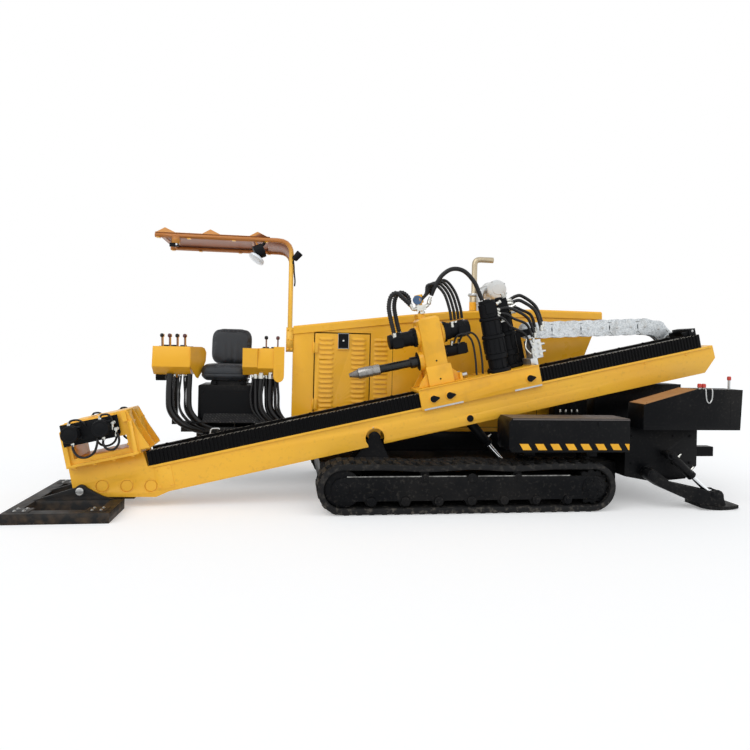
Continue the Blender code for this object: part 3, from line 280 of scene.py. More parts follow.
def on_loop(distance, across, depth):
    """Point of the track: distance along the loop from its front low corner, across from its middle, depth inside the tips.
    The loop is a straight, a half turn, a straight and a half turn, with a slow wave on the upper straight."""
    radius = TRACK_TALL / 2
    distance = np.mod(distance, LOOP)
    turn = np.pi * radius
    rear = np.clip(distance - STRAIGHT, 0, turn) / radius - np.pi / 2
    front = np.clip(distance - 2 * STRAIGHT - turn, 0, turn) / radius + np.pi / 2
    low, up, high = distance < STRAIGHT, distance < STRAIGHT + turn, distance < 2 * STRAIGHT + turn
    back = STRAIGHT / 2 - (distance - STRAIGHT - turn)
    inner = radius - depth
    sag = 0.011 * (np.cos(np.clip(back, -1.27, 1.27) * np.pi / 0.475) - 1) * np.cos(back * np.pi / STRAIGHT) * (~up) * high
    x = np.select([low, up, high], [distance - STRAIGHT / 2, STRAIGHT / 2 + inner * np.cos(rear), back],
                  -STRAIGHT / 2 + inner * np.cos(front))
    z = np.select([low, up, high], [depth + 0 * distance, radius + inner * np.sin(rear), TRACK_TALL - depth + sag],
                  radius + inner * np.sin(front))
    return np.stack([x, across + 0 * x, z], -1)


for side, sign in (("near", -1), ("far", 1)):
    half = TRACK_WIDE / 2
    around = np.linspace(0, LOOP, 217)[:-1, None]
    # The belt's section, across and in depth: a raised rim on each edge, and chamfered inner corners.
    rim = np.array([(half, 0.02), (half - 0.008, 0.008), (half - 0.022, 0.008), (half - 0.03, BELT_OUT)])
    inner = np.array([(half, BELT_IN - 0.01), (half - 0.008, BELT_IN)])
    mirror = (-1, 1)
    section = np.vstack([rim * mirror, rim[::-1], inner, inner[::-1] * mirror])
    belt = net(on_loop(around, section[None, :, 0], section[None, :, 1]), around=True)
    pitch = LOOP / LUGS
    # One lug's eight corners: share of the pitch, across and depth; its foot is wider than its tip.
    lug = np.array([(s, a, d) for d, grow in ((0.0, 0.0), (0.028, 1.0)) for s, a in
                    ((0.08 - 0.05 * grow, -0.006 * grow), (0.52 + 0.06 * grow, -0.006 * grow),
                     (0.6 + 0.06 * grow, 0.215 + 0.006 * grow), (0.16 - 0.05 * grow, 0.215 + 0.006 * grow))])
    lug_faces = [[0, 1, 2, 3], [7, 6, 5, 4], [0, 4, 5, 1], [1, 5, 6, 2], [2, 6, 7, 3], [3, 7, 4, 0]]
    lugs = []
    for row, flip in ((0.0, -1), (0.5, 1)):
        shares = lug[None, :, 0] + row + np.arange(LUGS)[:, None]
        across = flip * (half - 0.02) - flip * lug[None, :, 1]
        corners = on_loop(shares * pitch, across + 0 * shares, lug[None, :, 2] + 0 * shares)
        faces = [[corner + 8 * number for corner in face] for number in range(LUGS) for face in lug_faces]
        lugs.append((corners.reshape(-1, 3), faces))
    parts = [(points + MACHINE + (0, sign * TRACK_MIDDLE, 0), faces) for points, faces in (belt, *lugs)]
    track = piece(f"rubber_track_{side}", parts, RUBBER, "chassis", bevel=0.004, segments=1)
    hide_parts(f"track_{side}")

# Track frames: welded black plates, each with seven road wheels, a front idler and a toothed rear sprocket on a geared hub.
# Painted semi-gloss black; caps of the roller axles and the hub's bolts stand on the outer plate.
# A thin rolled bead runs along the plate, and its paint is rubbed off to the bare steel.


def dark_paint(place):
    """Semi-gloss black with an orange-peel skin, and grey dust that lies low down and on what faces up."""
    film = cloud(place, 2.2, 4.0)
    specks = ramp(cloud(place, 38.0, 6.0), 0.56, 0.74)
    lies = upward(place) * 0.2 + ramp(part_of(place, 2), 0.05, 0.55, 0.14, 0.03)
    dust = specks * lies + ramp(film, 0.45, 0.75) * lies * 0.5
    tone = mixed(film, colour(5, 6, 8), colour(13, 14, 17))
    return {"Base Color": mixed(dust, tone, colour(126, 120, 112)), "Roughness": ramp(film, 0.3, 0.7, 0.34, 0.5),
            "Normal": relief(cloud(place, 420.0, 2.0), 0.0002, 0.35)}


BLACK = surface("black_enamel", dark_paint, Specular_IOR_Level=0.09)


def unit(vector):
    """The vector's direction, with a length of 1."""
    vector = np.asarray(vector, float)
    return vector / np.linalg.norm(vector)


def ring_round(along, count, start=0.0):
    """Points of a circle of radius 1 that lies square to the direction along, evenly spaced from the angle start."""
    side = unit(np.cross(along, (0.0, 1.0, 0.0) if abs(along[1]) < 0.8 else (1.0, 0.0, 0.0)))
    turn = start + np.linspace(0, 2 * np.pi, count, endpoint=False)[:, None]
    return np.cos(turn) * side + np.sin(turn) * np.cross(along, side)


def turned(start, along, profile, sides=24):
    """A round part: each (distance, radius) of the profile is a ring about the axis from start, in the direction along."""
    along = unit(along)
    ring = ring_round(along, sides)
    distance, radius = np.array(profile, float).T
    points = np.asarray(start, float) + distance[:, None, None] * along + radius[:, None, None] * ring[None]
    return net(points, caps=True)


def fastener(radius, height, along):
    """A hexagon head with a chamfered top on a round washer, about the origin."""
    washer = turned((0, 0, 0), along, [(-0.001, radius * 1.45), (height * 0.22, radius * 1.45), (height * 0.24, radius)], 12)
    head = turned((0, 0, 0), along, [(0.0, radius), (height * 0.85, radius), (height, radius * 0.8)], 6)
    return joined(washer, head)


def joined(*parts):
    """Several parts as one set of points and faces."""
    offsets = np.cumsum([0] + [len(points) for points, _ in parts]).tolist()
    faces = [[corner + offset for corner in face] for (_, part), offset in zip(parts, offsets) for face in part]
    return np.vstack([points for points, _ in parts]), faces


def shifted(part, step):
    """The part moved by the step."""
    points, faces = part
    return points + np.asarray(step, float), faces


def bolt_circle(centre, along, radius, count, size, height, start=0.0):
    """Bolt heads evenly round a circle that lies square to the direction along."""
    places = np.asarray(centre, float) + radius * ring_round(unit(along), count, start)
    return copies(fastener(size, height, along), places)


WHEEL_X = (np.arange(7) - 3) * (STRAIGHT - 0.55) / 6
TRACK_FACE = TRACK_MIDDLE + TRACK_WIDE / 2
HUB_X, HUB_Z = STRAIGHT / 2, TRACK_TALL / 2
BEAD = surface("rubbed_bead", lambda place: {
    "Base Color": mixed(ramp(cloud(place, 30.0, 4.0), 0.4, 0.62), colour(92, 92, 90), colour(150, 150, 146)),
    "Roughness": ramp(cloud(place, 60.0), 0.3, 0.7, 0.35, 0.6)}, Metallic=0.4)
for side, sign in (("near", -1), ("far", 1)):
    out = np.array([0.0, sign, 0.0])
    plate_y = sign * (TRACK_FACE - 0.015)
    caps = turned((0, 0, 0), out, [(-0.002, 0.042), (0.01, 0.042), (0.013, 0.036), (0.013, 0.018), (0.019, 0.016)], 20)
    rollers = copies(caps, [(x, plate_y, 0.131) for x in WHEEL_X])
    carriers = copies(caps, [(x, plate_y, 0.352) for x in (-0.475, 0.475)])
    hub_face = sign * (TRACK_FACE - 0.002)
    hub = turned((HUB_X, hub_face - sign * 0.02, HUB_Z), out,
                 [(0.0, 0.118), (0.014, 0.118), (0.017, 0.108), (0.017, 0.084), (0.024, 0.08), (0.024, 0.03),
                  (0.027, 0.026)], 36)
    hub_bolts = bolt_circle((HUB_X, hub_face - sign * 0.003, HUB_Z), out, 0.098, 12, 0.0085, 0.008)
    plugs = bolt_circle((HUB_X, hub_face + sign * 0.004, HUB_Z), out, 0.054, 3, 0.012, 0.008)
    idler = turned((-HUB_X, plate_y, HUB_Z), out, [(-0.002, 0.06), (0.008, 0.06), (0.012, 0.052), (0.012, 0.02)], 28)
    boss = turned((0.0, plate_y, 0.355), out, [(-0.002, 0.045), (0.012, 0.045), (0.015, 0.04)], 24)
    parts = [shifted(part, MACHINE) for part in (rollers, carriers, hub, hub_bolts, plugs, idler, boss)]
    piece(f"track_caps_{side}", parts, BLACK, "chassis", sharp=30)
    # The bead's two lengths stop short of the boss in the middle.
    bead = np.array([(0.0, -0.005), (0.003, 0.0), (0.0, 0.005), (-0.003, 0.004), (-0.003, -0.004)])
    lines = []
    for low, high in ((-1.24, -0.06), (0.06, 1.02)):
        ends = np.array([low, high])[:, None]
        points = np.stack([ends + 0 * bead[None, :, 0], plate_y + sign * (bead[None, :, 0] + 0.0005) + 0 * ends,
                           0.372 + bead[None, :, 1] + 0 * ends], -1)
        lines.append(shifted(net(points, caps=True), MACHINE))
    piece(f"track_bead_{side}", lines, BEAD, "chassis")


def dress(finish, *names, soft=True):
    """Gives CAD nodes a finish, and softens their edges without touching their meshes."""
    for name in names:
        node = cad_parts[name]
        node.data.materials.clear()
        node.data.materials.append(finish)
        node.data.shade_smooth()
        merge = node.modifiers.new("merged", "WELD")
        merge.merge_threshold = 0.00002
        if not soft:
            continue
        edge = node.modifiers.new("soft_edges", "BEVEL")
        edge.width = 0.003
        edge.segments = 2
        edge.limit_method = "ANGLE"
        edge.angle_limit = np.radians(38)
        edge.harden_normals = True


dress(BLACK, "track_frame_near", "track_frame_far", "chassis", "deck_frame")

# Engine hood: folded yellow sheet steel with a louvred door, more louvre columns behind it and a black lock plate.
# Its wall panels meet in thin joints, and the roof's edges are folded over and catch the light.


def yellow_paint(place):
    """Glossy warm yellow with faint orange peel, a slow change of tone, dust on top and patches of darker grime."""
    slow = cloud(place, 0.9, 3.0)
    tone = mixed(slow, colour(238, 172, 34), colour(248, 188, 46))
    grime = ramp(cloud(place, 7.0, 6.0), 0.52, 0.8) * 0.2
    worn = mixed(grime, tone, colour(196, 132, 40))
    dust = ramp(cloud(place, 34.0, 5.0), 0.5, 0.72) * upward(place) * 0.16
    return {"Base Color": mixed(dust, worn, colour(222, 205, 170)),
            "Roughness": ramp(cloud(place, 3.0, 4.0), 0.3, 0.7, 0.26, 0.4),
            "Normal": relief(cloud(place, 330.0, 2.0), 0.00018, 0.35)}


YELLOW = surface("warm_yellow_enamel", yellow_paint, Specular_IOR_Level=0.35, Coat_Weight=0.15, Coat_Roughness=0.14)
dress(YELLOW, "hood")


def dark_iron(place):
    """Cast iron painted flat black: grainy, with rubbed greyer patches."""
    patch = cloud(place, 9.0, 5.0)
    tone = mixed(patch, colour(6, 7, 9), colour(18, 19, 22))
    return {"Base Color": tone, "Roughness": ramp(patch, 0.3, 0.7, 0.42, 0.62),
            "Normal": relief(cloud(place, 190.0, 4.0), 0.0007, 0.45)}


CAST = surface("cast_black", dark_iron, Specular_IOR_Level=0.12)


def block(low, high):
    """A straight-edged box from its low corner to its high one."""
    low, high = np.array(low, float), np.array(high, float)
    pick = np.array([(x, y, z) for z in (0, 1) for x, y in ((0, 0), (1, 0), (1, 1), (0, 1))])
    return low + pick * (high - low), [[3, 2, 1, 0], [4, 5, 6, 7], [0, 1, 5, 4], [1, 2, 6, 5], [2, 3, 7, 6], [3, 0, 4, 7]]


def sheet_cut(outline, low, high, axis=1):
    """A flat outline given thickness from low to high along an axis: 0 for x, 1 for y, 2 for z."""
    flat = np.asarray(outline, float)
    rings = np.stack([np.insert(flat, axis, level, axis=1) for level in (low, high)])
    return net(rings, caps=True)


def louvres(x, width, tops, y, depth, tall):
    """A column of pressed louvres on a wall that faces -Y: each rises from the sheet as half a droplet, open below.
    Across a louvre its height follows a flattened half wave, and down it grows slowly and ends in a lip."""
    u = np.linspace(0, 1, 9)[:, None]
    v = np.array([0.0, 0.25, 0.55, 0.85, 1.0, 1.0, 0.9])[None]
    swell = np.array([0.0, 0.3, 0.68, 0.95, 1.0, 0.72, 0.0])[None]
    edge = np.minimum(1, 3.2 * np.sin(np.pi * u)) ** 0.6
    points = np.stack([x + width * u + 0 * v, y - depth * swell * edge + 0.0006, -tall * v + 0 * u], -1)
    back = points * (1, 0, 1) + (0, y + 0.0015, 0)
    shell = net(np.concatenate([points, back[:, ::-1]], 1), caps=True)
    return copies(shell, [(0, 0, top) for top in tops])


def on_machine(*parts):
    """Moves parts from the machine's own frame, centred between its tracks, to their place."""
    return [shifted(part, MACHINE) for part in parts]


HOOD_FACE, HOOD_BACK, HOOD_FRONT, HOOD_REAR = 0.1, 1.05, -1.773, 1.97
LOUVRE_WIDE, LOUVRE_DEEP, LOUVRE_TALL = 0.165, 0.012, 0.032
rows = 1.731 - np.arange(16) * 0.055
door_louvres = [louvres(x, LOUVRE_WIDE, rows, HOOD_FACE, LOUVRE_DEEP, LOUVRE_TALL) for x in (-1.475, -1.105)]
handle = joined(block((-1.262, HOOD_FACE - 0.016, 1.598), (-1.138, HOOD_FACE + 0.002, 1.779)),
                block((-1.25, HOOD_FACE - 0.019, 1.62), (-1.15, HOOD_FACE - 0.01, 1.665)))
keyhole = [turned((-1.2, HOOD_FACE - 0.016, 1.692), (0, -1, 0), [(0.0, 0.011), (0.006, 0.011), (0.008, 0.005)], 16)]
keyhole += [block((x, HOOD_FACE - 0.0175, 1.604), (x + 0.003, HOOD_FACE - 0.014, 1.775)) for x in (-1.262, -1.141)]
keyhole += [block((-1.262, HOOD_FACE - 0.0175, z), (-1.138, HOOD_FACE - 0.014, z + 0.003)) for z in (1.602, 1.773)]
seal = [block((-1.53, HOOD_FACE - 0.0012, 0.786), (-1.524, HOOD_FACE + 0.001, 1.779)),
        block((-0.892, HOOD_FACE - 0.0012, 0.786), (-0.886, HOOD_FACE + 0.001, 1.779)),
        block((-1.53, HOOD_FACE - 0.0012, 1.773), (-0.886, HOOD_FACE + 0.001, 1.779))]
piece("door_louvres", on_machine(*door_louvres), YELLOW, "door", sharp=50)
piece("door_lock", on_machine(handle), CAST, "door", bevel=0.002)
piece("door_seal", on_machine(*seal), BLACK, "door")
dress(YELLOW, "hood_door")

back_louvres = louvres(-0.84, LOUVRE_WIDE, rows, HOOD_FACE, LOUVRE_DEEP, LOUVRE_TALL)
piece("hood_louvres", on_machine(back_louvres), YELLOW, "chassis", sharp=50)


def roof_line(x):
    """Height of the hood's roof over the place x: straight runs between its five folds."""
    return np.interp(x, [HOOD_FRONT, -0.534, 0.067, 1.05, HOOD_REAR], [1.84, 1.998, 2.063, 2.118, 2.116])


# Panel joints: thin dark gaps between the sheets, drawn as shallow black strips, and folded lips along the roof's edges.
JOINT_FOOT = 0.66
joints = [block((x - 0.0025, HOOD_FACE - 0.0008, JOINT_FOOT), (x + 0.0025, HOOD_FACE + 0.001, roof_line(x) - 0.03))
          for x in (-0.62, 1.16)]
joints += [block((HOOD_FRONT + 0.01, HOOD_FACE - 0.0008, 0.7), (1.7, HOOD_FACE + 0.001, 0.705))]
piece("hood_panel_joints", on_machine(*joints), BLACK, "chassis")
ridge = np.linspace(HOOD_FRONT, HOOD_REAR, 30)[:, None]
lips = []
for y, inward in ((HOOD_FACE, 1), (HOOD_BACK, -1)):
    fold = np.array([(0.0, -0.09), (-0.014, -0.084), (-0.01, -0.012), (0.006, 0.008), (0.05, 0.008), (0.05, 0.0),
                     (0.0, -0.002)])
    lips.append(net(np.stack([ridge + 0 * fold[None, :, 0], y + inward * fold[None, :, 0] + 0 * ridge,
                              roof_line(ridge) + fold[None, :, 1]], -1), caps=True))
hood_bolts = copies(fastener(0.007, 0.006, (0, -1, 0)),
                    [(x, HOOD_FACE, z) for x in (-1.72, -0.58, -0.66, 1.12, 1.2) for z in (0.74, 1.3, 1.78)])
roof_bolts = copies(fastener(0.007, 0.006, (0, 0, 1)),
                    [(x, y, roof_line(x) - 0.001) for x in (-1.5, -0.9, -0.3, 0.3, 0.9, 1.5) for y in (0.16, 0.99)])
piece("hood_lips", on_machine(*lips, hood_bolts, roof_bolts), YELLOW, "chassis", sharp=30)

# The rear wall carries a slatted grille for the radiator, and the far wall four more columns of louvres.
SLAT_STEP, SLAT_TALL, WALL_LEAN, WALL_REAR = 0.035, 0.012, 0.39, 1.722
grille_bars = [block((1.966 - (2.0 - z) * WALL_LEAN, 0.22, z), (1.984 - (2.0 - z) * WALL_LEAN, 0.93, z + SLAT_TALL))
               for z in np.arange(1.56, 1.98, SLAT_STEP)]
grille_rim = [block((WALL_REAR, y0, z0), (WALL_REAR + 0.011, y1, z1)) for y0, y1, z0, z1 in
              ((0.2, 0.95, 0.8, 0.83), (0.2, 0.95, 1.42, 1.45), (0.2, 0.23, 0.8, 1.45), (0.92, 0.95, 0.8, 1.45))]
grille_slats = [block((WALL_REAR, 0.22, z), (WALL_REAR + 0.009, 0.93, z + SLAT_TALL))
                for z in np.arange(0.85, 1.42, SLAT_STEP)]
piece("radiator_grille", on_machine(*grille_bars, *grille_rim, *grille_slats), BLACK, "chassis")
far_rows = 1.7 - np.arange(15) * 0.0555
far_louvres = []
for x in (-1.45, -0.95, 0.55, 1.05):
    points, faces = louvres(x, 0.3, far_rows, 0.0, LOUVRE_DEEP, 0.03)
    far_louvres.append((points * (1, -1, 1) + (0, HOOD_BACK, 0), faces))
far_joints = [block((x - 0.0025, HOOD_BACK - 0.001, JOINT_FOOT), (x + 0.0025, HOOD_BACK + 0.0008, roof_line(x) - 0.03))
              for x in (-0.62, 0.3, 1.45)]
piece("far_louvres", on_machine(*far_louvres), YELLOW, "chassis", sharp=50)
piece("far_panel_joints", on_machine(*far_joints), BLACK, "chassis")
dress(CAST, "engine")

# Exhaust and air cleaner: a bare steel pipe in a clamped collar, and a pale moulded air cleaner drum on the roof.
# A steel elbow leads the air from the drum down through the roof to the engine.


def smooth_path(points, steps=8):
    """The curve through the points: between two of them a cubic whose slopes come from their neighbours."""
    p = np.asarray(points, float)
    p = np.vstack([2 * p[0] - p[1], p, 2 * p[-1] - p[-2]])
    t = np.linspace(0, 1, steps, endpoint=False)[:, None, None]
    before, start, end, after = p[:-3], p[1:-2], p[2:-1], p[3:]
    curve = 0.5 * (2 * start + (end - before) * t + (2 * before - 5 * start + 4 * end - after) * t ** 2
                   + (3 * start - before - 3 * end + after) * t ** 3)
    return np.vstack([curve.transpose(1, 0, 2).reshape(-1, 3), p[-2][None]])


def pipe_along(points, radius, sides=10, steps=8, ring=0.0, pitch=0.016):
    """A hose or bent tube through the points. Its sections stand square to the curve about the direction it least follows,
    and ring makes its radius swell and shrink along the way, once every pitch."""
    path = smooth_path(points, steps)
    if ring:
        length = np.insert(np.cumsum(np.linalg.norm(np.diff(path, axis=0), axis=1)), 0, 0.0)
        even = np.linspace(0, length[-1], int(length[-1] / pitch * 4) + 1)
        path = np.stack([np.interp(even, length, path[:, axis]) for axis in range(3)], -1)
    ahead = np.gradient(path, axis=0)
    ahead /= np.linalg.norm(ahead, axis=1)[:, None]
    least = np.linalg.svd(ahead, full_matrices=False)[2][-1]
    side = np.cross(ahead, least)
    side /= np.linalg.norm(side, axis=1)[:, None]
    lift = np.cross(side, ahead)
    turn = np.linspace(0, 2 * np.pi, sides, endpoint=False)
    wave = 1 + ring * np.where(np.arange(len(path)) % 4 < 2, 1.0, 0.0)
    offset = np.cos(turn)[None, :, None] * side[:, None] + np.sin(turn)[None, :, None] * lift[:, None]
    return net(path[:, None] + radius * wave[:, None, None] * offset, caps=True)


def heat_steel(place):
    """Thin steel pipe, brushed along its length and browned by heat."""
    streak = cloud(place, 16.0, 5.0, (4.0, 4.0, 0.6))
    tone = mixed(streak, colour(150, 138, 118), colour(205, 190, 160))
    return {"Base Color": tone, "Roughness": ramp(streak, 0.3, 0.7, 0.28, 0.5),
            "Normal": relief(cloud(place, 300.0), 0.0002, 0.4)}


def brushed_steel(place):
    """Bare machined steel with fine turning lines and a few duller patches."""
    lines = cloud(place, 60.0, 4.0, (6.0, 1.0, 1.0))
    tone = mixed(cloud(place, 5.0), colour(160, 161, 160), colour(200, 201, 200))
    return {"Base Color": tone, "Roughness": ramp(lines, 0.3, 0.7, 0.22, 0.42), "Normal": relief(lines, 0.0002, 0.3)}


def pale_plastic(place):
    """Moulded pale grey plastic, slightly mottled."""
    cloudy = cloud(place, 8.0, 4.0)
    return {"Base Color": mixed(cloudy, colour(206, 208, 208), colour(232, 233, 231)),
            "Roughness": ramp(cloudy, 0.3, 0.7, 0.35, 0.5), "Normal": relief(cloud(place, 240.0), 0.0002, 0.3)}


HEATED = surface("heated_steel_pipe", heat_steel, Metallic=0.85)
STEEL = surface("machined_steel", brushed_steel, Metallic=0.9)
PALE = surface("pale_moulding", pale_plastic)
dress(HEATED, "exhaust")
dress(PALE, "air_cleaner")
UP, NEARWARD = (0, 0, 1), (0, -1, 0)
PIPE_X, PIPE_Y, CLAMP_Z = 0.47, 0.5, 2.31
collar = [turned((PIPE_X, PIPE_Y, 2.1), UP, [(-0.01, 0.075), (0.012, 0.075), (0.016, 0.062)], 28),
          turned((PIPE_X, PIPE_Y, 2.12), UP, [(0, 0.0585), (0.1, 0.0585)], 28)]
clamp = [turned((PIPE_X, PIPE_Y, CLAMP_Z), UP, [(-0.02, 0.061), (-0.016, 0.064), (0.016, 0.064), (0.02, 0.061)], 28),
         block((0.4, 0.49, 2.29), (0.42, 0.51, 2.33)), bolt_circle((0.4, PIPE_Y, CLAMP_Z), NEARWARD, 0.0, 1, 0.008, 0.02)]
piece("exhaust_collar", on_machine(*collar), YELLOW, "chassis")
piece("exhaust_clamp", on_machine(*clamp), STEEL, "chassis")
DRUM_X, DRUM_Z = 0.72, 2.38
ribs = [turned((DRUM_X, y, DRUM_Z), (0, 1, 0), [(0.0, 0.1145), (0.002, 0.1185), (0.01, 0.1185), (0.012, 0.1145)], 36)
        for y in (0.36, 0.63)]
lid = turned((DRUM_X, 0.342, DRUM_Z), NEARWARD,
             [(-0.01, 0.105), (0.006, 0.105), (0.01, 0.098), (0.01, 0.07), (0.018, 0.066), (0.02, 0.03)], 36)
clips = bolt_circle((DRUM_X, 0.345, DRUM_Z), NEARWARD, 0.112, 4, 0.008, 0.012, 0.7)
elbow = pipe_along([(0.66, 0.46, 2.385), (0.59, 0.44, 2.38), (0.535, 0.42, 2.345), (0.52, 0.41, 2.28),
                    (0.52, 0.4, 2.2), (0.52, 0.4, 2.08)], 0.048, 20)
band = turned((0.52, 0.4, 2.2), UP, [(-0.012, 0.048), (-0.01, 0.053), (0.01, 0.053), (0.012, 0.048)])
piece("intake_elbow", on_machine(elbow, band), STEEL, "chassis", sharp=50)
piece("air_cleaner_ribs", on_machine(*ribs, lid), PALE, "chassis")
piece("air_cleaner_clips", on_machine(clips), STEEL, "chassis")

# Operator's platform: chequered steel plate on a black frame, with a sloped foot plate along its near edge.
# Two pale grab hooks stand out below that edge, and the seat's cast slides, lever and cover plate are bolted on above.


def chequer_plate(place):
    """Black plate with raised lozenges laid by turns along and across, and wear on their tops."""
    turned_place = place.node("ShaderNodeMapping", (),
                              {"Vector": place, "Rotation": (0.0, 0.0, np.pi / 4), "Scale": (30.0, 30.0, 30.0)})
    bars = place.node("ShaderNodeTexBrick", {"offset": 0.5}, {"Vector": turned_place, "Scale": 1.0, "Mortar Size": 0.32,
                      "Mortar Smooth": 0.4, "Brick Width": 1.3, "Row Height": 0.8}, out=1)
    raised = 1 - bars
    tone = mixed(cloud(place, 5.0, 4.0), colour(17, 18, 20), colour(32, 33, 35))
    rubbed = ramp(cloud(place, 16.0, 5.0), 0.45, 0.7) * raised * 0.55
    return {"Base Color": mixed(rubbed, tone, colour(120, 118, 114)), "Roughness": ramp(raised, 0.0, 1.0, 0.55, 0.38),
            "Normal": relief(raised, 0.003, 0.8)}


CHEQUER = surface("chequer_plate", chequer_plate, Specular_IOR_Level=0.35)
dress(CHEQUER, "platform")
hooks = [pipe_along([(x, 0.06, 0.565), (x - 0.004, 0.052, 0.6), (x, 0.05, 0.65), (x + 0.012, 0.05, 0.676),
                     (x + 0.04, 0.05, 0.682), (x + 0.085, 0.05, 0.682), (x + 0.098, 0.052, 0.672)], 0.0075, 8)
         for x in (-2.66, -2.37)]
piece("grab_hooks", on_machine(*hooks), PALE, "chassis")
slope = sheet_cut([(0.045, 0.752), (0.185, 0.835), (0.19, 0.826), (0.05, 0.743)], -2.755, -2.05, axis=0)
brackets = [sheet_cut([(0.06, 0.75), (0.186, 0.826), (0.186, 0.69), (0.085, 0.69)], x, x + 0.008, axis=0)
            for x in (-2.74, -2.41, -2.073)]
piece("foot_plate", on_machine(slope, *brackets), CHEQUER, "chassis", bevel=0.001)
skirt = [block((-2.745, 0.085, 0.5), (-2.06, 0.093, 0.69)), block((-2.745, 0.086, 0.5), (-2.737, 0.4, 0.64)),
         block((-2.068, 0.086, 0.5), (-2.06, 0.4, 0.64))]
piece("platform_skirt", on_machine(*skirt), BLACK, "chassis", bevel=0.001)
dress(BLACK, "seat_base")
rails = [block((x, 0.2, 1.165), (x + 0.03, 0.66, 1.2)) for x in (-2.66, -2.36)]
knob = joined(pipe_along([(-2.3, 0.3, 1.17), (-2.24, 0.27, 1.18), (-2.2, 0.25, 1.2)], 0.006, 8),
              turned((-2.2, 0.25, 1.2), (0.6, -0.3, 0.4), [(-0.01, 0.01), (0.0, 0.016), (0.02, 0.016), (0.03, 0.008)], 12))
plates = joined(block((-2.79, 0.186, 0.78), (-2.22, 0.192, 1.1)),
                copies(fastener(0.008, 0.007, NEARWARD), [(x, 0.186, z) for x in (-2.77, -2.24) for z in (0.8, 1.08)]))
piece("seat_fittings", on_machine(*rails, knob, plates), CAST, "chassis", bevel=0.002)

# The seat: a vinyl cushion and backrest over foam, each with a piped seam round its edge, on a bent steel frame.
# Each swells from a slightly smaller form under a little inner pressure.
# Its seams and slack folds are pressed in afterwards.


def seat_vinyl(place):
    """Blue-black vinyl with a fine leather grain, polished in patches by use."""
    grain = place.node("ShaderNodeTexVoronoi", {"feature": "DISTANCE_TO_EDGE"}, {"Vector": place, "Scale": 420.0})
    creases = cloud(place, 45.0, 5.0)
    rubbed = cloud(place, 4.0, 3.0)
    return {"Base Color": mixed(rubbed, colour(26, 29, 33), colour(46, 51, 58)),
            "Roughness": ramp(rubbed, 0.3, 0.7, 0.34, 0.5),
            "Normal": relief(ramp(grain, 0.0, 0.08) + creases * 0.5, 0.0006, 0.55)}


VINYL = surface("seat_vinyl", seat_vinyl, Specular_IOR_Level=0.4, Sheen_Weight=0.05)


def pillow(name, middle, half, lean, seams, most, flat_side, power):
    """A stuffed form: a box with rounded corners, |x|^power + |y|^power + |z|^power = 1 along each ray, swollen by pressure.
    seams(local) gives how deep each point is drawn in, and flat_side is the local side that stays flat on its support."""
    u = np.linspace(-1, 1, 34)
    a, b = np.meshgrid(u, u, indexing="ij")
    sides = []
    for axis in range(3):
        for sign in (-1, 1):
            cube = np.insert(np.stack([a, b], -1), axis, sign, axis=2)
            sides.append(net(cube, across=False))
    points, faces = joined(*sides)
    ray = points / np.linalg.norm(points, axis=1)[:, None]
    local = ray / (np.abs(ray) ** power).sum(1)[:, None] ** (1 / power) * (np.asarray(half) - 0.012)
    tilt = np.array(Matrix.Rotation(lean, 3, "X"))
    made = piece(name, [(local @ tilt.T + middle + MACHINE, faces)], VINYL, "chassis", sharp=180)
    fused = made.modifiers.new("fused", "REMESH")
    fused.mode = "VOXEL"
    fused.voxel_size = 0.008
    start = bpy.data.meshes.new_from_object(made.evaluated_get(bpy.context.evaluated_depsgraph_get()))
    made.modifiers.clear()
    made.data = start
    at_rest = np.empty(len(start.vertices) * 3)
    start.vertices.foreach_get("co", at_rest)
    at_rest = at_rest.reshape(-1, 3)
    swollen = at_rest
    cloth = made.modifiers.new("stuffing", "CLOTH")
    cloth.settings.use_pressure = True
    cloth.settings.uniform_pressure_force = 4.0
    cloth.settings.effector_weights.gravity = 0.0
    cloth.settings.quality = 4
    for step in range(1, 21):
        scene.frame_set(step)
    blown = made.evaluated_get(bpy.context.evaluated_depsgraph_get())
    swollen = np.empty(len(start.vertices) * 3)
    blown.data.vertices.foreach_get("co", swollen)
    swollen = swollen.reshape(-1, 3)
    made.modifiers.clear()
    scene.frame_set(1)
    move = swollen - at_rest
    reach = np.linalg.norm(move, axis=1)[:, None]
    swollen = at_rest + move * np.minimum(1, most / np.maximum(reach, 1e-9))
    local = (swollen - MACHINE - middle) @ tilt
    inward = -np.sign(local) * (np.abs(local) / half == (np.abs(local) / half).max(1)[:, None])
    local = local + inward * seams(local)[:, None]
    axis, sign, limit = flat_side
    local[:, axis] = np.maximum(local[:, axis] * sign, -limit) * sign
    start.vertices.foreach_set("co", (local @ tilt.T + middle + MACHINE).astype(np.float32).ravel())
    start.update()
    start.shade_smooth()
    start.materials.clear()
    start.materials.append(VINYL)
    finer = made.modifiers.new("finer", "SUBSURF")
    finer.levels = finer.render_levels = 1
    return made


def groove(distance, width, depth):
    """A pressed seam: deepest on its line and gone a few widths away."""
    return depth * np.exp(-(distance / width) ** 2)


def cushion_seams(p):
    """A piped seam round the edge and soft hollows where the sitter's legs rest."""
    upper = p[:, 2] > -0.02
    rest = 0.006 * np.exp(-((np.abs(p[:, 0]) - 0.1) / 0.07) ** 2 - ((p[:, 1] + 0.02) / 0.14) ** 2)
    return upper * rest + groove(p[:, 2] + 0.018, 0.006, 0.006) + groove(p[:, 2] - 0.036, 0.005, 0.003)


